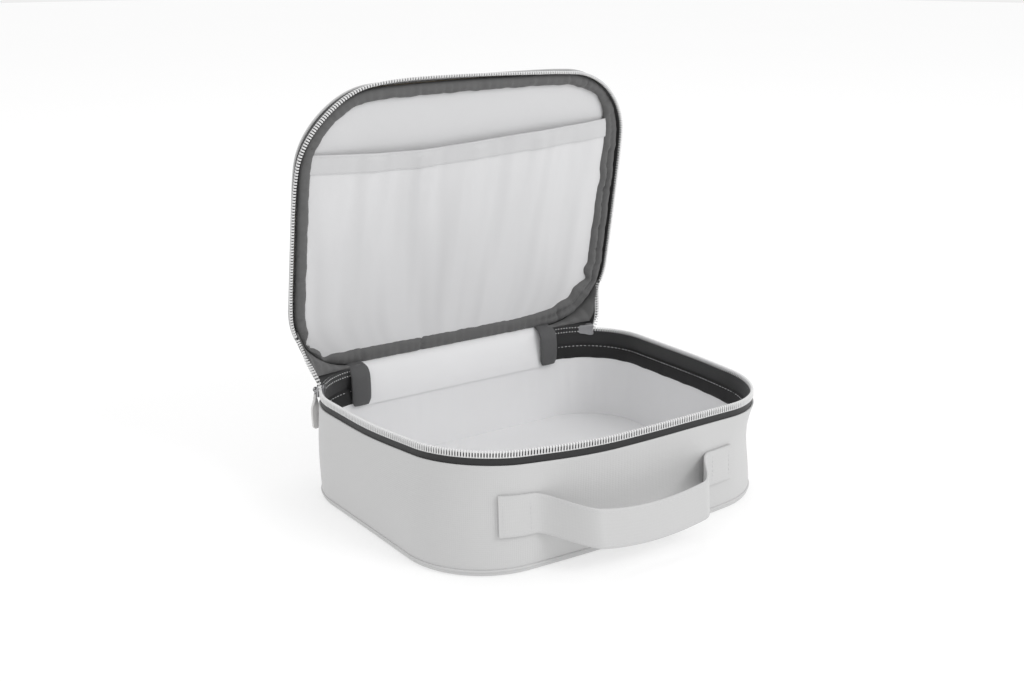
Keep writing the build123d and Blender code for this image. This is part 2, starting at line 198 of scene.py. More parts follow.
def splay(s):
    """How far the lid's free tape leans out at its teeth: most on the near side, none at the hinge."""
    s = s % RIM
    start = 105 if s < HALF_RIM else 135
    most = 4.6 - 3.8 * smooth((s - HALF_RIM + 60) / 160)
    return most * smooth((min(s, RIM - s) - start) / 85) * (1 - 0.7 * hump(s, NEAR_CORNER, 80))


def on_splayed(s, out, z):
    """A place on the lid's tape, which leans further out the further it hangs from the panel."""
    hang = clamp((TAPE_SEWN - z) / TAPE_HANG)
    return raised(on_closed_lid(s, out + splay(s) * hang, z))


def on_lid(s, out, z):
    return raised(on_closed_lid(s, out, z))


print("near corner drawn in by", round(-sway(NEAR_CORNER, WALL_TOP), 1), "mm at the rim")

# %% [markdown]
# ## Laying a strip along the rim
# Most pieces are strips that run round the rim: wall cloth, tapes, bindings, piping. By hand one would
# add a grid and bend it. Here the grid primitive's length is laid along the rim and its width along a
# short profile of (out, height) points, and its UV map is set in metres, so that a weave keeps its real
# size everywhere.

# %% Selecting and editing
def deselect():
    if bpy.context.mode != "OBJECT":
        bpy.ops.object.mode_set(mode="OBJECT")
    bpy.ops.object.select_all(action="DESELECT")


def choose(piece):
    deselect()
    piece.select_set(True)
    bpy.context.view_layer.objects.active = piece


def edit_all(piece):
    """Opens a piece in edit mode with all of it selected."""
    choose(piece)
    bpy.ops.object.mode_set(mode="EDIT")
    bpy.ops.mesh.select_all(action="SELECT")


def turn_faces_out(piece):
    edit_all(piece)
    bpy.ops.mesh.normals_make_consistent(inside=False)
    bpy.ops.object.mode_set(mode="OBJECT")


def merge(piece):
    """Joins the points that lie in one place."""
    edit_all(piece)
    bpy.ops.mesh.remove_doubles(threshold=0.00002)
    turn_faces_out(piece)


print("Blender", bpy.app.version_string)

# %% Grids and strips
STRIP_STEP = 3.0
FINE_STEP = 2.0


def grid(name, columns, rows):
    deselect()
    bpy.ops.mesh.primitive_grid_add(x_subdivisions=columns, y_subdivisions=rows, size=2)
    piece = bpy.context.object
    piece.name = piece.data.name = name
    return piece


def laid(name, columns, rows, place):
    """A grid with each point moved to its place.

    place(x, y) takes -1 to 1 both ways and gives the point and its (u, v), in millimetres.
    """
    piece = grid(name, columns, rows)
    uv = []
    for vertex in piece.data.vertices:
        point, flat = place(vertex.co.x, vertex.co.y)
        vertex.co = point * MM
        uv.append(flat)
    layer = piece.data.uv_layers.active
    for loop, corner in zip(piece.data.loops, layer.data):
        u, v = uv[loop.vertex_index]
        corner.uv = (u * MM, v * MM)
    return piece


def modify(piece, kind, **settings):
    """Adds one modifier, sets it and applies it."""
    choose(piece)
    modifier = piece.modifiers.new(kind.title(), kind)
    for key, value in settings.items():
        setattr(modifier, key, value)
    bpy.ops.object.modifier_apply(modifier=modifier.name)


def smooth_shade(piece, angle=40):
    choose(piece)
    bpy.ops.object.shade_smooth_by_angle(angle=math.radians(angle))


def distances(profile):
    """How far each point of a profile is from its start."""
    found = [0.0]
    for (a, b), (c, d) in zip(profile, profile[1:]):
        found.append(found[-1] + math.hypot(c - a, d - b))
    return found


def strip(name, profile, where, start=0.0, end=RIM, step=STRIP_STEP, closed=False, ripple=None):
    """A grid laid from start to end round the rim. A closed profile makes a tube."""
    if closed:
        profile = profile + profile[:1]
    rows = len(profile) - 1
    lengths = distances(profile)

    def place(x, y):
        s = start + (x + 1) / 2 * (end - start)
        level = round((y + 1) / 2 * rows)
        out, z = profile[level]
        if ripple:
            d_out, d_z = ripple(s, level / rows)
            out, z = out + d_out, z + d_z
        return where(s, out, z), (s, lengths[level])

    piece = laid(name, max(2, round((end - start) / step)), rows, place)
    merge(piece)
    return piece


print("a strip round the whole rim has", round(RIM / STRIP_STEP), "columns")

# %% Finishing a piece
def thick(piece, mm, offset=-1):
    modify(piece, "SOLIDIFY", thickness=mm * MM, offset=offset, use_even_offset=True)


def ply(piece, mm, offset=-1, angle=40):
    """Gives a cloth its thickness and soft shading."""
    thick(piece, mm, offset)
    smooth_shade(piece, angle)


def finished(piece, body, material, slot, *nodes):
    """Gives a piece its material, hangs it on its body and hides the imported parts it stands for."""
    piece.data.materials.clear()
    piece.data.materials.append(material)
    if body:
        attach(piece, body)
    if nodes:
        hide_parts(*nodes)
    print(piece.name, len(piece.data.polygons), "faces")
    return piece


print("cloth that is 1.1 mm thick is", 1.1 * MM, "units thick")

# %% [markdown]
# ## Materials
# Three recipes make the whole bag: a coated cloth, a woven cloth and a hard finish. The outer cloth is
# coated and embossed with a fine grid of diamonds, the linings are a plain weave, and the tapes and
# bindings are twills. Each pattern could be an image, but it is worked out from the UV map instead. The
# map's unit is a metre, so a pitch can be typed in directly and the pattern stays sharp from close by.

# %% Material helpers
def srgb(value):
    """A grey or colour given in 0 to 255 steps, as linear light."""
    values = (value,) * 3 if isinstance(value, (int, float)) else value
    linear = [((v / 255 + 0.055) / 1.055) ** 2.4 if v > 10.3 else v / 255 / 12.92 for v in values]
    return (*linear, 1.0)


class Nodes:
    """A short way to write a node tree."""

    def __init__(self, name):
        self.material = bpy.data.materials.new(name)
        self.material.use_nodes = True
        self.tree = self.material.node_tree
        self.shader = self.tree.nodes["Principled BSDF"]

    def add(self, kind, inputs=(), **settings):
        node = self.tree.nodes.new(kind)
        for key, value in settings.items():
            setattr(node, key, value)
        for key, value in dict(inputs).items():
            if isinstance(value, bpy.types.NodeSocket):
                self.tree.links.new(value, node.inputs[key])
            else:
                node.inputs[key].default_value = value
        return node

    def math(self, operation, a, b=0.0):
        return self.add("ShaderNodeMath", {0: a, 1: b}, operation=operation).outputs[0]

    def plus(self, a, b):
        return self.math("ADD", a, b)

    def times(self, a, b):
        return self.math("MULTIPLY", a, b)

    def wave(self, value, factor):
        return self.math("SINE", self.times(value, factor))

    def spread(self, value, low, high):
        """A value from 0 to 1, spread between two others."""
        inputs = {"Value": value, "To Min": low, "To Max": high}
        return self.add("ShaderNodeMapRange", inputs).outputs[0]

    def link(self, output, socket):
        self.tree.links.new(output, self.shader.inputs[socket])

    def uv(self):
        split = self.add("ShaderNodeSeparateXYZ", {0: self.add("ShaderNodeUVMap").outputs[0]})
        return split.outputs[0], split.outputs[1]

    def noise(self, scale, detail=2.0, roughness=0.5, vector=None):
        vector = vector or self.add("ShaderNodeTexCoord").outputs["Object"]
        inputs = {"Vector": vector, "Scale": scale, "Detail": detail, "Roughness": roughness}
        return self.add("ShaderNodeTexNoise", inputs).outputs[0]

    def ramp(self, value, low, high):
        """Two colours mixed by a value from 0 to 1."""
        node = self.add("ShaderNodeMix", {"Factor": value, "A": low, "B": high}, data_type="RGBA")
        return node.outputs["Result"]

    def bump(self, height, strength, distance, normal=None):
        inputs = {"Height": height, "Strength": strength, "Distance": distance}
        if normal:
            inputs["Normal"] = normal
        return self.add("ShaderNodeBump", inputs).outputs[0]


def shifted(tone, step, least=2):
    """A tone made lighter or darker by some steps."""
    return srgb([min(max(c + step, least), 252) for c in tone])


print("mid grey as linear light", round(srgb(128)[0], 3))

# %% The recipes
def coated_cloth(name, tone, pitch=1.25):
    """Embossed diamonds on a coated cloth: two diagonal waves multiplied."""
    n = Nodes(name)
    u, v = n.uv()
    k = 2 * math.pi / (pitch * MM)
    one = n.wave(n.plus(u, v), k / 2)
    two = n.wave(n.math("SUBTRACT", u, v), k / 2)
    dots = n.times(n.times(one, two), 0.5)
    fine = n.noise(2600, 3)
    soft = n.noise(16, 3)
    base = n.ramp(n.spread(soft, 0.2, 0.8), shifted(tone, -5), shifted(tone, 3))
    shade = n.times(n.plus(n.times(dots, 0.5), 0.5), 0.12)
    n.link(n.ramp(shade, base, shifted(tone, -45)), "Base Color")
    shine = n.plus(n.times(soft, 0.5), n.times(fine, 0.5))
    n.link(n.spread(shine, 0.5, 0.66), "Roughness")
    slack = n.bump(n.noise(38, 2), 0.25, 0.0012)
    height = n.plus(dots, n.times(fine, 0.35))
    n.link(n.bump(height, 0.35, 0.00018, slack), "Normal")
    n.shader.inputs["Specular IOR Level"].default_value = 0.35
    n.shader.inputs["Sheen Weight"].default_value = 0.08
    return n.material


def woven(name, tone, pitch=0.6, strength=0.3, rough=0.75, sheen=0.15, twill=0.0, painted_fold_shade=0.0):
    """A plain weave, or a twill when the threads step sideways. Streaks are soft painted shadows of folds.
    """
    n = Nodes(name)
    u, v = n.uv()
    k = 2 * math.pi / (pitch * MM)
    across = n.wave(n.plus(u, n.times(v, twill)), k)
    weave = n.times(n.plus(across, n.wave(v, k)), 0.5)
    soft = n.noise(22, 3)
    base = n.ramp(n.spread(soft, 0.2, 0.8), shifted(tone, -4), shifted(tone, 4))
    # painted shade: darker vertical streaks stand in for the shadows that the folds cast
    if painted_fold_shade:
        stretched = n.add("ShaderNodeCombineXYZ", {0: n.times(u, 55.0), 1: n.times(v, 5.0)})
        bars = n.noise(1.0, 1, vector=stretched.outputs[0])
        limits = {"Value": bars, "From Min": 0.45, "From Max": 0.72, "To Max": painted_fold_shade}
        dark = n.add("ShaderNodeMapRange", limits).outputs[0]
        base = n.ramp(dark, base, shifted(tone, -26))
    shade = n.times(n.plus(n.times(weave, 0.5), 0.5), 0.14)
    n.link(n.ramp(shade, base, shifted(tone, -50, 4)), "Base Color")
    n.link(n.spread(soft, rough - 0.07, rough + 0.07), "Roughness")
    slack = n.bump(n.noise(60, 3), 0.3, 0.0008)
    n.link(n.bump(weave, strength, 0.0001, slack), "Normal")
    n.shader.inputs["Sheen Weight"].default_value = sheen
    return n.material


def hard(name, tone, metal, rough, scale=900.0):
    """Metal, plastic, foam or board: one tone with a soft grain."""
    n = Nodes(name)
    soft = n.noise(scale, 3)
    n.link(n.ramp(soft, shifted(tone, -12), shifted(tone, 6)), "Base Color")
    n.link(n.spread(soft, rough - 0.08, rough + 0.1), "Roughness")
    n.link(n.bump(soft, 0.12, 0.00008), "Normal")
    n.shader.inputs["Metallic"].default_value = metal
    return n.material

# %% The materials
THIN = {"pitch": 0.5, "strength": 0.2, "rough": 0.62}
OUTER = coated_cloth("Outer_Cloth", (200, 200, 200))
# Lit and shaded copies of one lining: painted light on the base's, painted shade on the lid's, pocket and
# hem.
LINING = woven("Lining_Cloth", (234, 234, 235), **THIN)
SHADED_LID_LINING = woven("Lid_Lining_Shaded", (213, 213, 214), **THIN)
POCKET = woven("Pocket_Cloth_Shaded", (220, 220, 221), **THIN, painted_fold_shade=0.36)
SHADED_HEM = woven("Hem_Cloth_Shaded", (206, 206, 207), **THIN, painted_fold_shade=0.2)
TRIM = woven("Lid_Trim", (96, 96, 96), pitch=0.8, strength=0.5, rough=0.8, twill=0.6)
INNER_TRIM = woven("Base_Trim", (24, 24, 25), pitch=0.8, strength=0.5, rough=0.8, sheen=0.03, twill=0.6)
TAPE = woven("Zip_Tape", (37, 37, 38), pitch=0.9, strength=0.6, rough=0.7, twill=1.0)
TAB_CLOTH = woven("Tab_Cloth", (84, 84, 85), pitch=0.7, strength=0.5, rough=0.8)
# painted light: the pull's tone is set lighter than the outer cloth's, to make up for the shade it hangs in
LIT_PULL_CLOTH = coated_cloth("Pull_Cloth", (226, 225, 224), pitch=0.9)
TEETH = hard("Zip_Teeth", (226, 226, 226), 0.0, 0.32)
METAL = hard("Slider_Metal", (168, 168, 170), 0.9, 0.3)
FOAM = hard("Foam_Core", (226, 224, 214), 0.0, 0.95, 500)
BOARD = hard("Board_Core", (186, 170, 142), 0.0, 0.85, 300)
BEAD = woven("Bead_Thread", (202, 202, 203), pitch=1.0, strength=0.8, rough=0.6)
THREAD = hard("Light_Thread", (205, 205, 206), 0.0, 0.6, 1500)
DARK_THREAD = hard("Dark_Thread", (92, 92, 94), 0.0, 0.6, 1500)
print(len(bpy.data.materials), "materials")

# %% [markdown]
# ## The base's outer wall
# One band of coated cloth goes round the bag. It is stretched over foam, so it swells between its two
# seams, and its upper edge is turned in where the zip tape is sewn on. A strip with a few levels is
# enough, and Solidify gives it the cloth's thickness.

# %% Wall cloth
wall_profile = [(-0.25, 4.3)]
wall_profile += [(0.0, z) for z in (5.2, 7, 10, 16, 24, 33, 42, 51, 59, 64, 66.6, 67.8)]
wall_profile += [(-0.35, WALL_TOP), (-1.1, WALL_TOP - 0.1)]
wall = strip("base_wall_cloth", wall_profile, on_base)
ply(wall, 1.15)
finished(wall, "base", OUTER, "coated_fabric", "base_outer_wall")

# %% [markdown]
# ## Pieces that fill the outline
# Floors, foam slabs and the lid's faces fill the whole outline. A circle could be filled and stretched,
# but a grid keeps even squares for folds and weave. It is drawn out along rays from the middle until its
# border lies on the rim. The border can then be extruded over an edge, ring by ring, as one would do by
# hand.

# %% Helper for filled pieces
SAMPLES = 1800


def rim_rays(where, out, z):
    """Polar angle, distance and rim length of many points of an outline."""
    rays = []
    for i in range(SAMPLES):
        s = RIM * i / SAMPLES
        p = where(s, out, z)
        rays.append((math.atan2(p.y, p.x), math.hypot(p.x, p.y), s))
    return sorted(rays)


def ray_at(rays, angle):
    """Distance and rim length where a ray from the middle meets the outline."""
    low, high = 0, len(rays) - 1
    if angle <= rays[0][0] or angle >= rays[-1][0]:
        return rays[0][1], rays[0][2]
    while high - low > 1:
        middle = (low + high) // 2
        if rays[middle][0] <= angle:
            low = middle
        else:
            high = middle
    a, b = rays[low], rays[high]
    t = (angle - a[0]) / (b[0] - a[0])
    gap = (b[2] - a[2] + RIM / 2) % RIM - RIM / 2
    return a[1] + t * (b[1] - a[1]), (a[2] + t * gap) % RIM


def filled(name, where, out, z, height=None, turn=None):
    """A grid pulled out to the outline. Its height may vary over the middle."""
    rays = rim_rays(where, out, z)
    border = []

    def place(u, v):
        r = max(abs(u), abs(v))
        angle = math.atan2(v * BACK, u * HALF_WIDTH)
        reach, s = ray_at(rays, angle)
        x, y = r * reach * math.cos(angle), r * reach * math.sin(angle)
        p = Vector((x, y, z + (height(x, y, r) if height else 0.0)))
        border.append(s if r > 0.9999 else -1.0)
        return (turn(p) if turn else p), (x, y)

    piece = laid(name, 64, 50, place)
    piece.data.attributes.new("rim_s", "FLOAT", "POINT").data.foreach_set("value", border)
    return piece


def over_edge(piece, where, rings):
    """Extrudes a filled piece's border, ring by ring, to (out, z) places."""
    mesh = bmesh.new()
    mesh.from_mesh(piece.data)
    key = mesh.verts.layers.float["rim_s"]
    uv = mesh.loops.layers.uv.active
    edges = [e for e in mesh.edges if e.is_boundary]
    level = 0.0
    last = None
    for out, z in rings:
        grown = bmesh.ops.extrude_edge_only(mesh, edges=edges)["geom"]
        verts = [g for g in grown if isinstance(g, bmesh.types.BMVert)]
        faces = [g for g in grown if isinstance(g, bmesh.types.BMFace)]
        edges = [e for e in mesh.edges if e.is_boundary]
        before = level
        level += 1.0 if last is None else math.hypot(out - last[0], z - last[1])
        last = (out, z)
        fresh = set(verts)
        for vert in verts:
            vert.co = where(vert[key], out, z) * MM
        for face in faces:
            middle = sorted(loop.vert[key] for loop in face.loops)
            wraps = middle[-1] - middle[0] > RIM / 2
            for loop in face.loops:
                s = loop.vert[key]
                s += RIM if wraps and s < RIM / 2 else 0
                loop[uv].uv = (s * MM, (level if loop.vert in fresh else before) * MM)
    bmesh.ops.recalc_face_normals(mesh, faces=mesh.faces)
    mesh.to_mesh(piece.data)
    mesh.free()


print("outline sampled at", SAMPLES, "points")

# %% [markdown]
# ## The underside and the piping round it
# The bottom is a shallow tray of the same cloth. Its lip turns up to meet the wall, and a thin roll of
# cloth covers the seam. The tray is a filled grid whose border is extruded up in a round. The roll could
# be a curve with a bevel, but as a strip with a round profile it follows the sway of the wall by itself.

# %% Bottom and piping
bottom = filled("base_bottom_cloth", on_base, -3.0, 0.0)
over_edge(bottom, on_base, [(-1.6, 0.12), (-0.7, 0.55), (-0.2, 1.3), (-0.05, 2.2), (-0.15, 3.1)])
ply(bottom, 1.1)
finished(bottom, "base", OUTER, "coated_fabric", "base_bottom_panel")


def tube(radius, out, z, points=8):
    """A round profile."""
    return [
        (out + radius * math.cos(2 * math.pi * i / points), z + radius * math.sin(2 * math.pi * i / points))
        for i in range(points)
    ]


welt = strip("bottom_piping", tube(0.85, -0.05, 3.75), on_base, closed=True)
smooth_shade(welt, 80)
finished(welt, "base", OUTER, "coated_fabric", "bottom_welt")

# %% [markdown]
# ## Foam, boards and linings
# These are what gives the bag its stand. The foam and the boards can't be seen, but they fill the wall
# between its two cloths, so they follow the same sway. The linings are thin and lie a little loose.

# %% Inside the base
def waves(s, k, phase=0.0):
    """A soft wave round the rim with a whole number of turns."""
    return math.sin(2 * math.pi * k * s / RIM + phase)


def slack(s, t):
    """The lining's small folds, which are deepest at half its height."""
    fold = 0.35 * waves(s, 23) + 0.3 * waves(s, 41, 1.3) + 0.25 * waves(s, 67, 0.4)
    return -0.25 - 0.5 * abs(fold) * math.sin(math.pi * t), 0.0


foam_profile = [(-1.3, z) for z in (5, 30, 56)] + [(-3.7, z) for z in (56, 30, 5)]
foam = strip("base_foam", foam_profile, on_base, closed=True)
finished(foam, "base", FOAM, "foam", "base_wall_foam")

floor_board = filled("base_board", on_base, -2.4, 3.2)
thick(floor_board, 1.8)
finished(floor_board, "base", BOARD, "board", "base_bottom_board")

lining_profile = [(-4.2, z) for z in (4.9, 8, 14, 22, 32, 42, 50, 57.5)]
wall_lining = strip("base_wall_lining_cloth", lining_profile, on_base, ripple=slack)
ply(wall_lining, 0.5, 0)
finished(wall_lining, "base", LINING, "lining", "base_wall_lining")


def floor_slack(x, y, r):
    """The floor lining lies a little loose, but flat at its seam."""
    loose = math.sin(x / 21 + 0.6) * math.sin(y / 17) + 0.6 * math.sin(x / 9 + y / 13)
    return 0.28 * loose * (1 - r**6)


floor_lining = filled("base_floor_lining_cloth", on_base, -3.9, 4.6, floor_slack)
ply(floor_lining, 0.5, 0)
finished(floor_lining, "base", LINING, "lining", "base_floor_lining")

# %% [markdown]
# ## The zip on the base
# A dark woven tape stands up out of the wall and runs on inside the teeth, so it shows dark between them.
# The tape stops short of the hinge at both ends. Its profile is closed, as a bought tape has a thickness
# and two sewn edges, and the strip helper lays it along the rim.

# %% Tape
ZIP_END = 84.0
CHAIN_OUT = -1.7
TOOTH_FOOT = 73.2
tape_profile = [
    (-1.25, 57), (-1.25, 62), (-1.25, 68), (-1.25, 71.5), (-1.3, 73.2), (-1.35, 75.2), (-1.5, 76.3),
    (-2.6, 75.5), (-2.9, 74.7), (-2.9, 73.2), (-2.7, 71.0), (-2.3, 68), (-2.1, 62), (-2.1, 57),
]
tape = strip("base_tape", tape_profile, on_base, ZIP_END, RIM - ZIP_END, closed=True)
smooth_shade(tape)
finished(tape, "base", TAPE, "dark_tape", "base_zip_tape")

# %% [markdown]
# ## Teeth
# A coil zip looks like a row of thin pale loops with dark gaps between. One loop is modelled once: a
# narrow foot that clasps the tape and a slightly wider tip. Hundreds of copies stand in a row, so one has
# only a few dozen faces. An array along a curve could set them. Here each copy gets its own place and
# lean, because the lid's row leans with its tape. A pale bead of sewing runs along their feet.

# %% A row of teeth
TOOTH_PITCH = 2.1
CHAIN_START = ZIP_END + 4


def one_tooth(length=3.2):
    """A tooth at the origin: X along the tape, Y outwards, Z to its tip."""
    deselect()
    bpy.ops.mesh.primitive_cube_add(size=1)
    tooth = bpy.context.object
    tooth.data.transform(Matrix.Diagonal((1.0, 2.3, length, 1)) @ Matrix.Translation((0, 0, 0.5)))
    bpy.ops.object.mode_set(mode="EDIT")
    mesh = bmesh.from_edit_mesh(tooth.data)
    for face in mesh.faces:
        face.select = face.normal.z > 0.9
    mesh.select_flush(True)
    bmesh.update_edit_mesh(tooth.data)
    bpy.ops.mesh.extrude_region_move(TRANSFORM_OT_translate={"value": (0, 0, 0.9)})
    bpy.ops.transform.resize(value=(1.2, 0.85, 1))
    bpy.ops.mesh.extrude_region_move(TRANSFORM_OT_translate={"value": (0, 0, 0.6)})
    bpy.ops.transform.resize(value=(0.7, 0.6, 1))
    bpy.ops.object.mode_set(mode="OBJECT")
    modify(tooth, "BEVEL", width=0.16, segments=1, limit_method="ANGLE")
    return tooth


def copies(name, pattern, spots):
    """Copies of a small pattern piece at spots, each a 4x4 matrix in millimetres, as one piece."""
    points = [v.co.copy() for v in pattern.data.vertices]
    faces = [tuple(p.vertices) for p in pattern.data.polygons]
    bpy.data.objects.remove(pattern)
    verts, polys = [], []
    for spot in spots:
        start = len(verts)
        verts += [spot @ p * MM for p in points]
        polys += [tuple(start + i for i in face) for face in faces]
    mesh = bpy.data.meshes.new(name)
    mesh.from_pydata(verts, [], polys)
    row = bpy.data.objects.new(name, mesh)
    bpy.context.scene.collection.objects.link(row)
    return row


def standing(p, along, up):
    """A matrix that stands a tooth at p, with its length along and its tip up."""
    x = along.normalized()
    z = (up - up.dot(x) * x).normalized()
    y = z.cross(x)
    return Matrix.Translation(p) @ Matrix((x, y, z)).transposed().to_4x4()


def tooth_row(where, foot, tip, start, end, side="left"):
    """Spots for teeth at an even pitch. Their tips point up where tip is 1 and down where it is -1."""
    spots = []
    at = start
    while at < end:
        s = rim_at(side, at)
        p = where(s, CHAIN_OUT, foot)
        along = where(s + 0.5, CHAIN_OUT, foot) - where(s - 0.5, CHAIN_OUT, foot)
        spots.append(standing(p, along, where(s, CHAIN_OUT, foot + tip) - p))
        at += TOOTH_PITCH
    return spots


spots = tooth_row(on_base, TOOTH_FOOT, 1, CHAIN_START, RIM - CHAIN_START)
base_teeth = copies("base_teeth", one_tooth(), spots)
finished(base_teeth, "base", TEETH, "zip_teeth", "base_zip_teeth")


def bead(name, where, z, start, end, body):
    """The pale line of sewing along the teeth's feet, on the tape's outer face."""
    row = strip(name, tube(0.42, -0.95, z, 6), where, start, end, step=FINE_STEP, closed=True)
    smooth_shade(row, 80)
    return finished(row, body, BEAD, "zip_teeth")


bead("base_teeth_bead", on_base, 73.5, ZIP_END + 3, RIM - ZIP_END - 3, "base")

# %% [markdown]
# ## Band inside the rim
# A dark band covers the top of the lining and leans out to the tape. It is a folded strip with small
# puckers where it is sewn, so a closed profile is laid along the rim and a ripple pulls it about.

# %% Inner band
def band_pucker(s, t):
    """Small puckers: in and out along the upper edge, up and down along the lower one."""
    ripple = 0.18 * waves(s, 61) + 0.14 * waves(s, 97, 0.9)
    return ripple * math.sin(math.pi * t), 0.35 * waves(s, 37, 0.5) * (1 - t)


band_profile = [
    (-4.9, 52.9), (-5.5, 53.4), (-5.7, 55.5), (-5.2, 58.5), (-4.2, 61.5), (-3.2, 63.6), (-2.7, 64.2),
    (-2.3, 64.0), (-3.3, 61.0), (-4.3, 58.0), (-4.75, 55.5),
]
inner_band = strip(
    "base_band", band_profile, on_base, ZIP_END + 1, RIM - ZIP_END - 1, closed=True, ripple=band_pucker
)
smooth_shade(inner_band, 60)
finished(inner_band, "base", INNER_TRIM, "dark_binding", "base_binding")

# %% [markdown]
# ## The lid
# The lid's outer cloth is a shallow pan with a soft round edge, crowned in the middle by the foam under
# it. It is drawn as if shut, because flat things are easier to place, and turned up with the lid. Inside
# it lie a board, foam and the lining.

# %% Lid panel, board and foam
LID_LOW = 81.2
LID_TOP = 88.3


def crown(x, y, r):
    """The panel's swell, with a little unevenness."""
    return 1.6 * (1 - r**2.5) + 0.15 * math.sin(x / 19) * math.sin(y / 23 + 1) * (1 - r**6)


panel = filled("lid_panel_cloth", on_closed_lid, -4.2, LID_TOP, crown, raised)
panel_edge = [
    (-2.6, 88.15), (-1.4, 87.6), (-0.55, 86.8), (-0.1, 86.0), (0.05, 85.2), (-0.15, 84.7), (-1.0, 84.5),
]
over_edge(panel, on_lid, panel_edge)
ply(panel, 1.1)
finished(panel, "lid", OUTER, "coated_fabric", "lid_outer_panel")

board = filled("lid_board_core", on_closed_lid, -3.2, 87.0, turn=raised)
thick(board, 1.4)
finished(board, "lid", BOARD, "board", "lid_board")
foam_slab = filled("lid_foam_core", on_closed_lid, -3.2, 85.4, turn=raised)
thick(foam_slab, 1.7)
finished(foam_slab, "lid", FOAM, "foam", "lid_foam")

# %% Lid lining
def lid_slack(x, y, r):
    """How the lining sags between its seams."""
    loose = 0.5 * math.sin(x / 31 + 0.5) * math.sin(y / 26 + 0.3) + 0.25 * math.sin(x / 12 - y / 33)
    return 0.5 + 0.5 * loose * (1 - r**6)


lid_lining = filled("lid_lining_cloth", on_closed_lid, -2.8, 82.9, lid_slack, raised)
ply(lid_lining, 0.5, 0)
finished(lid_lining, "lid", SHADED_LID_LINING, "lining", "lid_lining")

# %% [markdown]
# ## The lid's zip and its binding
# The lid's tape hangs from the panel's edge with its own row of teeth. Inside, a gathered grey binding
# hides the raw edges. It is wider along the hinge, rolls over itself up the far side, and its inner edge
# puckers. Cloth simulation could gather it, but waves and notches at chosen places follow the real one
# more closely.

# %% Lid tape and teeth
RUN_FROM = 152.0
lid_tape_profile = [
    (-1.25, 86), (-1.25, 83.5), (-1.3, 81), (-1.3, 79.2), (-1.35, 77.8), (-1.5, 76.8),
    (-2.7, 76.9), (-2.9, 77.6), (-2.9, 79.2), (-2.6, 81), (-2.2, 83.5), (-2.1, 86),
]
lid_tape = strip("lid_tape", lid_tape_profile, on_splayed, RUN_FROM, RIM - RUN_FROM, closed=True)
smooth_shade(lid_tape)
finished(lid_tape, "lid", TAPE, "dark_tape", "lid_zip_tape")

LID_TOOTH_FOOT = 79.2
spots = tooth_row(on_splayed, LID_TOOTH_FOOT, -1, RUN_FROM + TOOTH_PITCH / 2, RIM - RUN_FROM)
lid_teeth = copies("lid_teeth", one_tooth(2.4), spots)
finished(lid_teeth, "lid", TEETH, "zip_teeth", "lid_zip_teeth")
bead("lid_teeth_bead", on_splayed, 78.9, RUN_FROM, RIM - RUN_FROM, "lid")

# %% Lid binding
TUCKS = [RIM * ((i * 0.618034) % 1.0) for i in range(26)]


def far_roll(s):
    """1 up the far side, where the binding is rolled fullest, fading before the hinge."""
    return smooth((s - FAR_CORNER + 10) / 90) * smooth((RIM - 60 - s) / 60)


def lobes(s):
    """The bunched folds of the far rear corner."""
    return 0.6 * hump(s, RIM - 161, 9) + hump(s, RIM - 133, 14) + 0.4 * hump(s, RIM - 109, 14)


def binding_width(s):
    """Wide along the hinge and up the far side, narrower elsewhere, with a lobe at the far rear corner."""
    near = min(s % RIM, RIM - s % RIM)
    return 9.4 + 3.4 * (1 - smooth((near - 80) / 60)) + 5.6 * far_roll(s) + 3.6 * lobes(s)


def binding_gather(s, t):
    """Soft gathers, a notch at the near rear corner and the rolled swell of the far side."""
    pull = 0.26 * waves(s, 29) + 0.24 * waves(s, 47, 1.1) + 0.16 * waves(s, 83, 0.3)
    pinch = 4.6 * hump(s, 125, 34) + 4.6 * hump(s, 138, 9) + 3.6 * hump(s, 117, 7)
    pinch += 2.4 * hump(s, FAR_CORNER, 26) + 2.6 * hump(s, RIM - 150, 6) + 2.2 * hump(s, FAR_CORNER + 78, 9)
    edge = 9.4 - binding_width(s) + 0.9 * pull + pinch
    bulge = math.sin(math.pi * t)
    roll = (0.9 + 2.2 * far_roll(s) + 1.5 * lobes(s) + 1.2 * hump(s, 128, 9)) * bulge
    crease = 3.7 * far_roll(s) * math.exp(-(((t - 0.5) / 0.15) ** 2))
    tucks = sum(hump(s, at, 3.2) for at in TUCKS)
    small = (1.1 * pull + 0.4 * waves(s, 137, 0.8) - 1.2 * tucks) * bulge
    return edge * t, -roll + crease - small


binding_profile = [
    (-2.4, 82.3), (-2.6, 81.0), (-3.1, 80.2), (-4.2, 79.6), (-5.4, 79.35), (-6.2, 79.3), (-6.8, 79.3),
    (-7.6, 79.35), (-8.4, 79.5), (-9.2, 79.75), (-10.2, 80.3), (-11.0, 81.1), (-11.3, 82.2),
]
lid_binding = strip("lid_binding_cloth", binding_profile, on_lid, ripple=binding_gather, step=FINE_STEP)
ply(lid_binding, 0.7, angle=60)
finished(lid_binding, "lid", TRIM, "dark_binding", "lid_binding")

# %% [markdown]
# ## The pocket in the lid
# A full-width panel of thin cloth is caught in the binding on three sides and is open at the top under a
# wide hem. Its cloth hangs in a few soft folds that run down from the hem. Each fold is a ridge with a
# place, a width and a depth, which is easier to set from a picture than a simulated drape.

# %% Pocket and hem
POCKET_MOUTH = -59.0
POCKET_FLAT_HALF = 128
POCKET_FLAT_DEPTH = 160
LINING_FACE = 82.3
POCKET_REAR = BACK - 12.0
lining_rays = rim_rays(on_closed_lid, -4.6, LID_LOW)


def halfway(low, high, is_before):
    """Halves the way between low and high until it finds where is_before stops being true."""
    for _ in range(40):
        middle = (low + high) / 2
        if is_before(middle):
            low = middle
        else:
            high = middle
    return low


def pocket_half(y):
    """Half the pocket's width at a distance from the mouth."""
    return halfway(0.0, HALF_WIDTH, lambda x: math.hypot(x, y) < ray_at(lining_rays, math.atan2(y, x))[0])


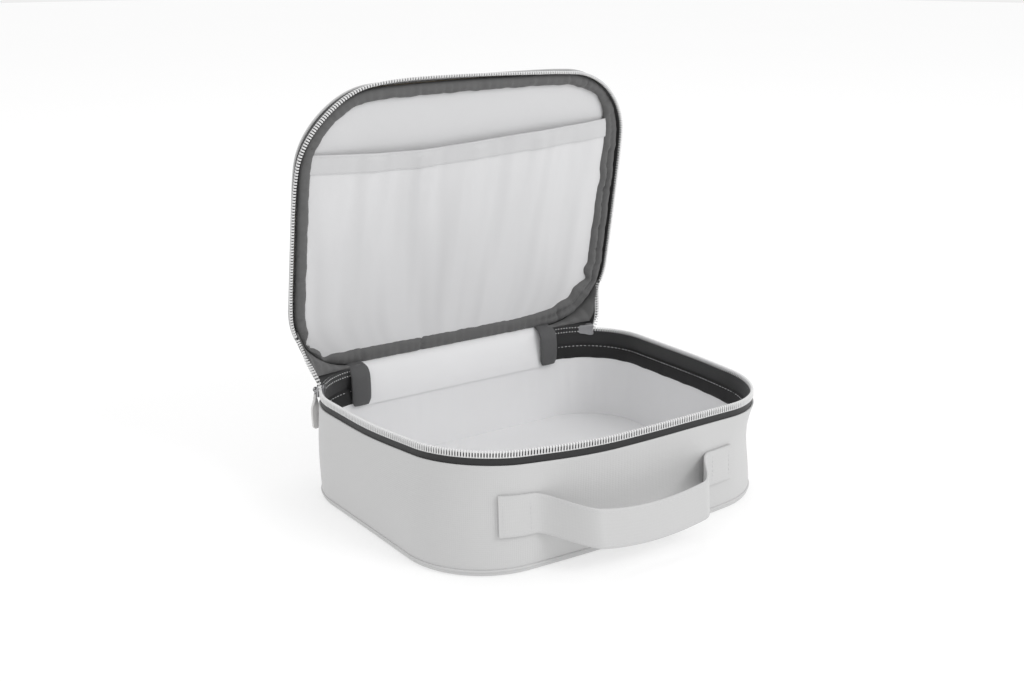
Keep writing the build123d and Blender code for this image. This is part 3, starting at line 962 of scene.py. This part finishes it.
FOLDS = (
    (-0.74, 0.035, 1.3), (-0.60, 0.05, 2.2), (-0.33, 0.045, 2.4), (-0.24, 0.03, 1.2), (0.03, 0.05, 1.6),
    (0.16, 0.03, 0.9), (0.46, 0.055, 2.5), (0.55, 0.03, 1.2), (0.78, 0.05, 1.7),
)


def pocket_lift(u, t):
    """How far the pocket stands off the lining. t is 0 at the mouth and 1 at the hinge."""
    belly = (1 - abs(u) ** 3) * (4.0 * (1 - t) ** 1.5 + 0.9)
    folds = sum(d * math.exp(-(((u - c + 0.05 * t) / (w * (1 + 1.2 * t))) ** 2)) for c, w, d in FOLDS)
    fade = (1 - smooth((t - 0.15) / 0.7)) * smooth(t / 0.06 + 0.45) * (1 - u**8)
    sag = 0.5 * math.sin(7 * u + 5 * t) * math.sin(math.pi * t)
    return 0.6 + (belly + 0.85 * folds * fade + sag) * smooth((1 - abs(u)) / 0.1)


def pocket_place(u, t, extra=0.0):
    """u is -1 to 1 across, t as above, extra the distance in front of the cloth."""
    sag = 2.5 * (1 - u * u) - 2.5 * u + 2.4 * math.exp(-(((u + 0.35) / 0.45) ** 2))
    mouth = POCKET_MOUTH + (1 - t) * sag
    y = mouth + t * (POCKET_REAR - mouth)
    return raised(Vector((u * pocket_half(y), y, LINING_FACE - pocket_lift(u, t) - extra)))


def pocket_sheet(name, rows, t0, t1, extra, span=1.0):
    """A sheet of the pocket from t0 to t1, over a share of its width."""

    def place(x, y):
        u = x * span
        t = t0 + (y + 1) / 2 * (t1 - t0)
        return pocket_place(u, t, extra), (u * POCKET_FLAT_HALF, t * POCKET_FLAT_DEPTH)

    return laid(name, 90, rows, place)


pocket = pocket_sheet("pocket_cloth", 60, 0.0, 1.0, 0.0)
ply(pocket, 0.5, 0, 60)
finished(pocket, "lid", POCKET, "lining", "lid_pocket_panel")
hem = pocket_sheet("pocket_hem_cloth", 8, -0.006, 0.084, 0.6, 0.96)
ply(hem, 0.9, 0, 60)
finished(hem, "lid", SHADED_HEM, "lining", "lid_pocket_hem")

# %% [markdown]
# ## Bands, rods and stitches
# More helpers make the small things: a flat band with rounded edges that follows any path, a round rod,
# and rows of stitches. A stitch is a thin ellipsoid, modelled once and copied at an even distance along a
# line, because a texture of stitches would look flat from close by.

# %% Bands and rods
def close_ends(piece):
    """Joins a wrapped grid's seam and closes its two open ends."""
    merge(piece)
    choose(piece)
    bpy.ops.object.mode_set(mode="EDIT")
    bpy.ops.mesh.select_all(action="DESELECT")
    bpy.ops.mesh.select_non_manifold()
    bpy.ops.mesh.fill_holes(sides=0)
    turn_faces_out(piece)


def band(name, place, ring, start, end, columns):
    """A closed band: place(distance, across, lift) gives each point, ring lists (across, lift) round it."""

    def spot(x, y):
        d = start + (x + 1) / 2 * (end - start)
        i = round((y + 1) / 2 * len(ring))
        return place(d, *ring[i % len(ring)]), (d, i * 3.6)

    piece = laid(name, columns, len(ring), spot)
    close_ends(piece)
    return piece


def soft_line(points, t):
    """A smooth curve through a few points, t from 0 to 1."""
    t = clamp(t) * (len(points) - 1)
    i = min(int(t), len(points) - 2)
    t -= i
    b, c = Vector(points[i]), Vector(points[i + 1])
    a = Vector(points[i - 1]) if i else b - (c - b)
    d = Vector(points[i + 2]) if i + 2 < len(points) else c + (c - b)
    return 0.5 * (2 * b + (c - a) * t + (2 * a - 5 * b + 4 * c - d) * t * t + (3 * b - a - 3 * c + d) * t**3)


def rod(name, points, radius, sides, columns):
    """A round bar through a few points."""
    piece = grid(name, columns, sides)
    for vertex in piece.data.vertices:
        t = (vertex.co.x + 1) / 2
        turn = (vertex.co.y + 1) * math.pi
        way = (soft_line(points, t + 0.01) - soft_line(points, t - 0.01)).normalized()
        side = way.cross(Vector((0, 0, 1))).normalized()
        up = side.cross(way)
        vertex.co = (soft_line(points, t) + radius * (math.cos(turn) * side + math.sin(turn) * up)) * MM
    close_ends(piece)
    return piece


def to_mm(piece):
    """Takes a piece back to millimetres, to be placed with others that are modelled in them."""
    piece.data.transform(Matrix.Scale(1 / MM, 4))
    return piece


print("middle of a soft line", soft_line([(0, 0, 0), (2, 0, 0)], 0.5))

# %% Stitches
def one_stitch(length, width):
    deselect()
    bpy.ops.mesh.primitive_uv_sphere_add(segments=6, ring_count=4, radius=0.5)
    stitch = bpy.context.object
    stitch.data.transform(Matrix.Rotation(math.pi / 2, 4, "Y"))
    stitch.data.transform(Matrix.Diagonal((length, width, width * 0.9, 1)))
    return stitch


def seam(place, face, start, end, pitch=3.3):
    """Spots for stitches at an even pitch. face(d) is the way the seam looks."""
    found = []
    # A path counted in millimetres is walked in quarters of one, and any other path in 400 steps.
    steps = int(abs(end - start) * 4) if abs(end - start) > 3 else 400
    last = place(start)
    walked = pitch / 2
    for i in range(1, steps + 1):
        d = start + (end - start) * i / steps
        p = place(d)
        walked += (p - last).length
        if walked >= pitch:
            walked -= pitch
            found.append(standing(p, p - last, face(d)))
        last = p
    return found


def rim_seam(where, out, z, turn_out, turn_z, start, end, pitch):
    """Spots along the rim. The stitches look the way that (turn_out, turn_z) points."""

    def face(s):
        return where(s, out + turn_out, z + turn_z) - where(s, out, z)

    return seam(lambda s: where(s, out, z), face, start, end, pitch)


trial = seam(lambda d: Vector((d, 0, 0)), lambda d: Vector((0, 0, 1)), 0, 100)
print("100 mm of seam have", len(trial), "stitches")

# %% [markdown]
# ## The carrying strap
# A folded band of the outer cloth is sewn flat to the front at both ends and stands away from it between.
# It could be a flat strip on a curve modifier. Here it is one band that follows its own path: along the
# wall, out in a soft S, across, and back. It bends from the base to the handle's own body where it leaves
# the wall.

# %% Strap path
STRAP_SHIFT = -10.5
STRAP_HEIGHT = 37.0
STRAP_WIDTH = 25.2
STRAP_SLOPE = 0.013
FREE_HALF = 71.0
PATCH_HALF = 95.3
PATCH_OUT = 1.35
STAND = 28.0
S_RUN = 30.0
DROOP = 9.6


def s_of_x(x):
    """Rim length of the front wall's point at a given x."""
    return halfway(HALF_RIM - HALF_WIDTH, HALF_RIM + HALF_WIDTH, lambda s: rim(s)[0] < x)


def strap_place(x, across, lift):
    """x along the front, across from -1 to 1 over the width, lift out from the strap's middle."""
    local = x - STRAP_SHIFT
    free = max(0.0, 1 - (abs(local) / FREE_HALF) ** 2)
    z = STRAP_HEIGHT - STRAP_SLOPE * local + across * STRAP_WIDTH / 2 - DROOP * free**1.2
    away = smooth((FREE_HALF - abs(local)) / S_RUN)
    tip = 1.5 * away * -across
    return on_base(s_of_x(x), PATCH_OUT + lift + STAND * away + tip, z)


strap_ring = [
    (-1.0, -0.6), (-0.96, -1.05), (-0.88, -1.15), (-0.5, -1.05), (0.0, -1.0), (0.5, -1.05), (0.88, -1.15),
    (0.96, -1.05), (1.0, -0.6), (1.0, 0.6), (0.96, 1.05), (0.88, 1.15), (0.5, 1.0), (0.0, 0.95),
    (-0.5, 1.0), (-0.88, 1.15), (-0.96, 1.05), (-1.0, 0.6),
]
strap_ends = (STRAP_SHIFT - PATCH_HALF, STRAP_SHIFT + PATCH_HALF)
strap = band("carrying_strap", strap_place, strap_ring, *strap_ends, 150)
smooth_shade(strap, 50)
finished(strap, None, OUTER, "coated_fabric", "handle_strap", "handle_end_left", "handle_end_right")
STRAP_BEND = {"start": (0, -0.112, 0.034), "end": (0, -0.126, 0.034)}
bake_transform(strap, "base", "handle", **STRAP_BEND)

# %% Strap stitches
def strap_face(x, across=0.0):
    return strap_place(x, across, 2) - strap_place(x, across, 0)


spots = []
low_x, high_x = strap_ends[0] + 2.5, strap_ends[1] - 2.5
for across in (-0.84, 0.84):
    spots += seam(lambda x: strap_place(x, across, 1.12), lambda x: strap_face(x, across), low_x, high_x)
for x in (low_x, STRAP_SHIFT - FREE_HALF - 4, STRAP_SHIFT + FREE_HALF + 4, high_x):
    spots += seam(lambda a: strap_place(x, a, 1.05), lambda a: strap_face(x, a), -0.78, 0.78)
strap_stitches = copies("strap_stitches", one_stitch(2.3, 0.42), spots)
finished(strap_stitches, None, THREAD, "coated_fabric")
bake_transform(strap_stitches, "base", "handle", **STRAP_BEND)

# %% [markdown]
# ## Hinge
# Outside, a strip of the coated cloth bends from the wall to the lid. Inside, a strip of lining does the
# same. Each could be a plain plane with a few cuts; a section of points gives its fold directly. Both
# cross the hinge, so each bends from one body to the other.

# %% Hinge cloths
def back_strip(name, profile, half):
    """A strip along X whose section is a list of (y, z) points."""
    lengths = distances(profile)

    def place(x, y):
        i = round((y + 1) / 2 * (len(profile) - 1))
        return Vector((x * half, *profile[i])), (x * half, lengths[i])

    return laid(name, 40, len(profile) - 1, place)


outer_hinge = back_strip(
    "hinge_cloth",
    [(110.1, 61.5), (110.2, 64), (110.3, 67), (110.4, 70), (110.9, 72.6), (112.0, 74.8), (113.8, 76.2),
     (116.2, 76.9), (118.6, 77.2), (120.4, 77.6), (121.6, 78.6), (122.2, 80.2), (122.1, 82.5)],
    84.5,
)
ply(outer_hinge, 0.9, 0, 60)
finished(outer_hinge, None, OUTER, "coated_fabric", "hinge_panel_base", "hinge_panel_lid")
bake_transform(outer_hinge, "base", "lid", start=(0, 0.1095, 0.070), end=(0, 0.1195, 0.077))

LINING_BEND = {"start": (0, 0.107, 0.072), "end": (0, 0.1145, 0.0815)}
inner_hinge = back_strip(
    "hinge_lining_cloth",
    [(104.2, 50), (104.1, 54), (104.3, 58), (105.2, 63), (106.4, 68), (107.6, 72), (108.8, 75.2),
     (110.4, 77.6), (112.4, 79.4), (114.0, 80.6), (114.9, 82.2), (115.2, 84)],
    86.5,
)
ply(inner_hinge, 0.5, 0, 60)
finished(inner_hinge, None, LINING, "lining", "hinge_lining_base", "hinge_lining_lid")
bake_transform(inner_hinge, "base", "lid", **LINING_BEND)

# %% [markdown]
# ## Where the zip ends
# Behind each slider the two rows are already closed and run on round the rear corner to a stop, which a
# small fabric tab covers. The closed row is set about half a pitch aside, as meshed teeth are. Inside of
# it stands a backing of tape with two dotted rows of sewing, and a strip of the same tape rides on the
# lid above. All are laid along the rim, as the long rows are.

# %% Closed chain and tapes
SIDES = ("left", "right")
PARKED = {"left": REAR_X + math.radians(55) * REAR_CORNER, "right": REAR_X + math.radians(35) * REAR_CORNER}
SLIDER_TAIL = 5.0
SLIDER_MOUTH = 5.0
MOUTH_RISE = 2.4


def end_tape(name, profile, where, side, end, body):
    """A closed strip of tape from the zip's end to a distance from the hinge."""
    ends = sorted((rim_at(side, ZIP_END + 1), rim_at(side, end)))
    tape = strip(name + side, profile, where, *ends, step=FINE_STEP, closed=True)
    close_ends(tape)
    smooth_shade(tape)
    finished(tape, body, TAPE, "dark_tape")
    return ends


cover_profile = [(-1.2, 79.4), (-1.0, 87.0), (-1.8, 87.0), (-2.0, 79.4)]
backing_profile = [(-2.9, 72.4), (-2.95, 76.0), (-2.9, 79.8), (-3.3, 79.6), (-3.4, 76.0), (-3.4, 72.6)]
for side in SIDES:
    meshing = CHAIN_START + TOOTH_PITCH / 2
    spots = tooth_row(on_base, LID_TOOTH_FOOT, -1, meshing, PARKED[side] - SLIDER_TAIL, side)
    finished(copies("closed_chain_" + side, one_tooth(), spots), "base", TEETH, "zip_teeth")
    end_tape("lid_end_tape_", cover_profile, on_lid, side, RUN_FROM + 1, "lid")
    backed_to = PARKED[side] - SLIDER_TAIL - 0.5
    ends = end_tape("chain_backing_", backing_profile, on_base, side, backed_to, "base")
    spots = []
    for z in (74.6, 78.0):
        spots += rim_seam(on_base, -3.45, z, -1, 0, *ends, 2.4)
    finished(copies("backing_dots_" + side, one_stitch(1.0, 0.9), spots), "base", TEETH, "zip_teeth")

# %% [markdown]
# ## The rows that rise to the lid
# From each slider's mouth the lid's row swings up to the lid, free in the air. It could be drawn as a
# Bezier curve. Here the curve's own formula is used, because it also tells which way each tooth should
# point. The row crosses the hinge, so it bends from the base to the lid.

# %% Rising rows
GUSSET_BEND = {"start": (0, 0.0981, 0.0616), "end": (0, 0.1235, 0.0933)}


def slider_axes(side):
    """The parked slider's spot, and its forward and outward directions."""
    s = rim_at(side, PARKED[side])
    spot = on_base(s, CHAIN_OUT, HINGE_Z)
    ahead = on_base(rim_at(side, PARKED[side] + 1), CHAIN_OUT, HINGE_Z) - spot
    out = on_base(s, CHAIN_OUT + 1, HINGE_Z) - spot
    return spot, ahead.normalized(), out.normalized()


def rising_row(side, t):
    """The lid's row from the slider's mouth, t = 0, to the lid, t = 1."""
    spot, ahead = slider_axes(side)[:2]
    start = spot + ahead * SLIDER_MOUTH + Vector((0, 0, MOUTH_RISE))
    end = on_splayed(rim_at(side, RUN_FROM), CHAIN_OUT, LID_TOOTH_FOOT)
    beyond = on_splayed(rim_at(side, RUN_FROM + 1), CHAIN_OUT, LID_TOOTH_FOOT)
    reach = (end - start).length * 0.38
    a = start + (ahead * 0.35 + Vector((0, 0, 0.9))) * reach
    b = end - (beyond - end).normalized() * reach
    u = 1 - t
    return u**3 * start + 3 * u * u * t * a + 3 * u * t * t * b + t**3 * end


def tip_way(side, t):
    """The way the rising row's teeth point: down at the slider, forwards at the lid."""
    ahead = slider_axes(side)[1]
    s = rim_at(side, RUN_FROM)
    at_lid = on_lid(s, CHAIN_OUT, LID_TOOTH_FOOT - 1) - on_lid(s, CHAIN_OUT, LID_TOOTH_FOOT)
    return ((ahead * 0.6 - Vector((0, 0, 0.8))) * (1 - t) + at_lid * t).normalized()


def rising_spots(side):
    """Spots for teeth, each at least a pitch from the last."""
    spots = []
    last = None
    for i in range(301):
        t = i / 300
        p = rising_row(side, t)
        if last is None or (p - last).length >= TOOTH_PITCH:
            along = rising_row(side, t + 0.01) - rising_row(side, t - 0.01)
            spots.append(standing(p, along, tip_way(side, t)))
            last = p
    return spots[:-1]


for side in SIDES:
    rising = copies("rising_row_" + side, one_tooth(1.7), rising_spots(side))
    finished(rising, None, TEETH, "zip_teeth")
    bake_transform(rising, "base", "lid", **GUSSET_BEND)
    line = rod("rising_bead_" + side, [rising_row(side, i / 12) for i in range(13)], 0.42, 6, 48)
    smooth_shade(line, 80)
    finished(line, None, BEAD, "zip_teeth")
    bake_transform(line, "base", "lid", **GUSSET_BEND)

# %% [markdown]
# ## Gussets and corner folds
# A dark gusset of zip tape fills the corner between the zip and the lid's edge. In front of it swells a
# soft fold of the grey binding. Both are grids stretched between two edges, as a sewer would set a gusset
# in, and both cross the hinge, so they bend from the base to the lid.

# %% Gussets and corner folds
CHAIN_TOP = 79.0
LID_EDGE = 80.5
EDGE_RISE = 5.5


def gusset_edge(side, s):
    """The gusset's lower edge, along the closed chain and then under the rising row's teeth."""
    if s <= PARKED[side]:
        return on_base(rim_at(side, s), CHAIN_OUT, CHAIN_TOP)
    t = (s - PARKED[side]) / (RUN_FROM - PARKED[side])
    chain = on_base(rim_at(side, PARKED[side]), CHAIN_OUT, CHAIN_TOP)
    if t < 1 / 6:
        return chain.lerp(rising_row(side, 0.0), smooth(t * 6))
    rise = (t - 1 / 6) * 1.2
    return rising_row(side, rise) + tip_way(side, rise) * 2.2 * smooth(rise * 3)


def corner_sheet(name, side, low_t, plump):
    """A sheet from a share low_t of the way up to the lid's edge. It hollows or swells by plump."""

    def place(x, y):
        s = ZIP_END + 1 + (x + 1) / 2 * (RUN_FROM - ZIP_END - 1)
        t = low_t + (y + 1) / 2 * (1 - low_t)
        low = gusset_edge(side, s)
        rise = EDGE_RISE * smooth((s - PARKED[side] + 14) / 22)
        high = on_lid(rim_at(side, s), CHAIN_OUT, LID_EDGE + rise)
        spread = (high - low).length
        bulge = math.sin(math.pi * (t - low_t) / (1 - low_t))
        push = max(min(plump * spread, 3.2), -3.0) * bulge
        if plump > 0:
            push += 1.1 + bulge * (0.6 * waves(s, 83, t * 2) + 1.2 * hump(s, 122, 12))
        return low.lerp(high, t) + Vector((0, -1, 0.4)).normalized() * push, (s, t * spread)

    return laid(name + side, 60, 16, place)


for side in SIDES:
    for name, cloth, slot, low_t, plump in (
        ("corner_gusset_", TAPE, "dark_tape", 0.0, -0.12),
        ("corner_fold_", TRIM, "dark_binding", 0.22, 0.3),
    ):
        corner = corner_sheet(name, side, low_t, plump)
        ply(corner, 0.8, 0, 60)
        finished(corner, None, cloth, slot)
        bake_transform(corner, "base", "lid", **GUSSET_BEND)

# %% [markdown]
# ## Tabs over the zip's ends
# Each tab is a doubled piece of binding cloth. It is sewn to the lid's binding, passes over the end of
# the chain and hangs inside the base. Box modelling would do, but a band that follows a smooth line in
# the YZ plane keeps its width and its rounded edges through the bend.

# %% Zip end tabs
TAB_X = {"left": -88.5, "right": 82.0}
TAB_POINTS = (
    (113.4, 81.2), (109.0, 80.4), (104.8, 78.6), (102.0, 74.5), (101.0, 68), (100.8, 60), (101.6, 51.5),
)
TAB_LINE = [(0, y, z) for y, z in TAB_POINTS]
soft_ring = [
    (-1.0, -0.4), (-0.93, -0.8), (-0.5, -0.75), (0.0, -0.7), (0.5, -0.75), (0.93, -0.8),
    (1.0, -0.4), (1.0, 0.4), (0.93, 0.8), (0.5, 0.75), (0.0, 0.7), (-0.5, 0.75), (-0.93, 0.8), (-1.0, 0.4),
]


def tab_place(t, across, lift, side):
    p = soft_line(TAB_LINE, t)
    way = (soft_line(TAB_LINE, t + 0.01) - soft_line(TAB_LINE, t - 0.01)).normalized()
    face = Vector((0, -way.z, way.y))
    half = 6.4 + 1.4 * smooth(t * 2.2) - 1.8 * smooth((t - 0.9) / 0.1) ** 2
    curl = 0.7 * across**2 * smooth(t * 1.5)
    return Vector((TAB_X[side] + across * half, 0, 0)) + p - face * (lift - curl)


for side in SIDES:
    tab = band("zip_end_cover_" + side, lambda t, a, b: tab_place(t, a, b, side), soft_ring, 0.0, 1.0, 26)
    smooth_shade(tab, 60)
    finished(tab, None, TAB_CLOTH, "dark_binding", "zip_end_tab_" + side)
    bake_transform(tab, "base", "lid", **LINING_BEND)
    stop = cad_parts["zip_stop_" + side]
    stop.data.materials.clear()
    stop.data.materials.append(METAL)

# %% [markdown]
# ## Sliders and pulls
# A slider is two shield-shaped plates with turned-in edges, joined by a post at the mouth. On its outer
# plate a bridge carries a small link, and the link carries a folded fabric pull. Flat parts are cut from
# outlines and bevelled, as cast metal has soft edges. All is modelled at the origin in millimetres, X
# along the chain towards the mouth and Y outwards, and is then set on the chain.

# %% Plates
PLATE_EDGE = 0.18


def plate(points, low, high):
    """A plate cut to an outline of (x, z) points, from one Y to another, with softened edges."""
    deselect()
    bpy.ops.mesh.primitive_circle_add(vertices=len(points), radius=1, fill_type="NGON")
    piece = bpy.context.object
    for vertex, (x, z) in zip(piece.data.vertices, points):
        vertex.co = (x, low, z)
    edit_all(piece)
    bpy.ops.mesh.extrude_region_move(TRANSFORM_OT_translate={"value": (0, high - low, 0)})
    turn_faces_out(piece)
    modify(piece, "BEVEL", width=PLATE_EDGE, segments=2, limit_method="ANGLE")
    return piece


def doubled(points):
    """An outline above the X axis, closed with its mirror image below."""
    return points + [(x, -z) for x, z in reversed(points)]


def joined(name, pieces):
    deselect()
    for piece in pieces:
        piece.select_set(True)
    bpy.context.view_layer.objects.active = pieces[0]
    bpy.ops.object.join()
    piece = bpy.context.object
    piece.name = piece.data.name = name
    return piece


print("plates have edges softened by", PLATE_EDGE, "mm")

# %% Slider and link
shield = doubled([
    (-6.0, 1.4), (-5.8, 2.6), (-4.8, 3.3), (-1.0, 3.6), (2.0, 4.3), (4.4, 4.5), (5.7, 3.9), (6.0, 2.6),
    (5.3, 1.1),
])
flange = [
    (-5.6, 2.7), (-4.8, 3.3), (-1.0, 3.6), (2.0, 4.3), (4.4, 4.5), (5.4, 4.0), (5.0, 3.5), (4.2, 3.9),
    (2.0, 3.6), (-1.0, 2.95), (-5.0, 2.6),
]
post = [(3.0, -0.7), (5.0, -0.5), (5.0, 0.5), (3.0, 0.7)]
bridge = [
    (-3.4, 2.2, 0), (-3.2, 3.6, 0), (-2.4, 4.4, 0), (0, 4.4, 0), (2.4, 4.4, 0), (3.2, 3.6, 0), (3.4, 2.2, 0),
]


def slider():
    parts = [plate(shield, 1.45, 2.45), plate(shield, -2.45, -1.45)]
    for low, high in ((0.85, 1.6), (-1.6, -0.85)):
        parts.append(plate(flange, low, high))
        parts.append(plate([(x, -z) for x, z in flange], low, high))
    parts.append(plate(post, -1.5, 1.5))
    parts.append(to_mm(rod("bridge", bridge, 0.62, 10, 24)))
    for middle in (-3.4, 3.4):
        foot = [(middle - 0.8, 0.9), (middle, 1.2), (middle + 0.8, 0.9)]
        parts.append(plate(doubled(foot), 2.3, 2.9))
    return joined("slider", parts)


def link():
    """An eye round the bridge and a flat shank inside the pull."""
    deselect()
    bpy.ops.mesh.primitive_torus_add(
        major_radius=1.3, minor_radius=0.35, major_segments=28, minor_segments=10
    )
    eye = bpy.context.object
    eye.data.transform(Matrix.Diagonal((1, 1, 5.2, 1)))
    eye.data.transform(Matrix.Rotation(math.pi / 2, 4, "Y"))
    eye.data.transform(Matrix.Translation((0, 4.4, 0)))
    shank = [(-1.9, -1.2), (-1.4, -4.0), (-2.2, -9.0), (2.2, -9.0), (1.4, -4.0), (1.9, -1.2)]
    return joined("link", [eye, plate(shank, 3.8, 5.0)])


print("the shield has", len(shield), "corners")

# %% Pulls, and setting all in place
def pull_place(t, across, lift):
    """The fabric pull, from its fold on the link down to its rounded end. It hangs a little twisted."""
    half = 3.5 - 1.6 * smooth((t - 0.92) / 0.08) ** 2 - 0.4 * (1 - smooth(t * 6))
    bow = 0.6 * math.sin(math.pi * t)
    twist = math.radians(40) * smooth((t - 0.1) / 0.35)
    c, d = math.cos(twist), math.sin(twist)
    x, y = across * half, lift * 1.15
    return Vector((c * x - d * y, 4.4 + d * x + c * y + bow, -3.0 - 26.0 * t))


def pull_face(t):
    return pull_place(t, 0, 1) - pull_place(t, 0, 0)


pull_ring = [(a, b * 0.95) for a, b in soft_ring]
for side in SIDES:
    spot, ahead, out = slider_axes(side)
    there = Matrix.Translation(spot) @ Matrix((ahead, out, Vector((0, 0, 1)))).transposed().to_4x4()
    body = slider()
    eye = link()
    pull = to_mm(band("pull_cloth", pull_place, pull_ring, 0.0, 1.0, 30))
    spots = []
    for a in (-0.7, 0.7):
        spots += seam(lambda t: pull_place(t, a, 0.9), pull_face, 0.06, 0.93, 2.6)
    threads = to_mm(copies("pull_stitches", one_stitch(1.9, 0.34), spots))
    for piece, name, rides, material, slot, node in (
        (body, "zip_slider_", "slider_", METAL, "metal", "slider_"),
        (eye, "pull_eye_", "pull_", METAL, "metal", "pull_link_"),
        (pull, "pull_cloth_", "pull_", LIT_PULL_CLOTH, "coated_fabric", "pull_tab_"),
        (threads, "pull_stitches_", "pull_", THREAD, "coated_fabric", None),
    ):
        piece.data.transform(Matrix.Scale(MM, 4) @ there)
        piece.name = piece.data.name = name + side
        turn_faces_out(piece)
        smooth_shade(piece)
        finished(piece, rides + side, material, slot, *([node + side] if node else []))

# %% [markdown]
# ## Seams
# Rows of stitches hold the bindings, the hem and the hinge. They are small, but they are what shows that
# the thing is sewn and not moulded. Each row copies one stitch along a line that lies on the sewn piece.

# %% Stitch rows
spots = rim_seam(on_base, -3.75, 62.5, -1, 0.3, CHAIN_START, RIM - CHAIN_START, 3.2)
finished(copies("band_stitches", one_stitch(2.2, 0.5), spots), "base", THREAD, "dark_binding")
spots = rim_seam(on_lid, -4.0, 79.65, -0.2, -1, 0, RIM, 3.4)
finished(copies("binding_stitches", one_stitch(2.4, 0.45), spots), "lid", DARK_THREAD, "dark_binding")

lid_face = raised(Vector((0, 0, -1))) - raised(Vector((0, 0, 0)))
spots = []
for t in (0.079, 0.004):
    spots += seam(lambda u: pocket_place(u, t, 1.15), lambda u: lid_face, -0.95, 0.95, 3.2)
finished(copies("hem_stitches", one_stitch(2.2, 0.36), spots), "lid", THREAD, "lining")

spots = []
for y, z in ((110.7, 63.0), (110.75, 66.0)):
    spots += seam(lambda x: Vector((x, y, z)), lambda x: Vector((0, 1, 0)), -80, 80)
finished(copies("hinge_stitches", one_stitch(2.3, 0.42), spots), "base", THREAD, "coated_fabric")

# %% [markdown]
# ## Light, floor and camera
# The bag stands on a plain pale floor under soft studio light. The camera stands to its left, a little
# above. Two large lamps and a bright world give soft shadows; more lamps would only flatten the cloth.

# %% Stage
CAMERA_TURN = math.radians(-35.0)
CAMERA_RISE = math.radians(16.9)
CAMERA_DISTANCE = 1.1725
TARGET = Vector((0.0789, 0.1483, 0.060))
towards = Vector(
    (
        math.sin(CAMERA_TURN) * math.cos(CAMERA_RISE),
        -math.cos(CAMERA_TURN) * math.cos(CAMERA_RISE),
        math.sin(CAMERA_RISE),
    )
)
camera = bpy.data.objects.new("Camera", bpy.data.cameras.new("Camera"))
camera.data.lens = 50
camera.data.sensor_width = 36
camera.location = TARGET + towards * CAMERA_DISTANCE
camera.rotation_euler = (-towards).to_track_quat("-Z", "Y").to_euler()
bpy.context.scene.collection.objects.link(camera)
bpy.context.scene.camera = camera
print("camera at", tuple(round(c, 3) for c in camera.location))

deselect()
bpy.ops.mesh.primitive_circle_add(vertices=96, radius=6, fill_type="NGON")
floor = bpy.context.object
floor.name = "studio_floor"
paper = Nodes("Studio_Paper")
paper.link(paper.ramp(paper.noise(2.0), srgb(186), srgb(188)), "Base Color")
paper.shader.inputs["Roughness"].default_value = 0.95
paper.shader.inputs["Emission Color"].default_value = (1, 1, 1, 1)
paper.shader.inputs["Emission Strength"].default_value = 0.5
floor.data.materials.append(paper.material)


def soft_light(name, place, size, power):
    light = bpy.data.objects.new(name, bpy.data.lights.new(name, "AREA"))
    light.data.shape = "DISK"
    light.data.size = size
    light.data.energy = power
    light.location = place
    aim = Vector((0, 0.02, 0.08)) - Vector(place)
    light.rotation_euler = aim.to_track_quat("-Z", "Y").to_euler()
    bpy.context.scene.collection.objects.link(light)


soft_light("Key", (0.9, -1.9, 1.7), 1.2, 18)
soft_light("Top", (0.2, 0.6, 2.4), 1.4, 8)
world = bpy.data.worlds.new("Studio")
bpy.context.scene.world = world
world.use_nodes = True
world.node_tree.nodes["Background"].inputs["Color"].default_value = (1, 1, 1, 1)
world.node_tree.nodes["Background"].inputs["Strength"].default_value = 0.865
bpy.context.scene.view_settings.view_transform = "Standard"
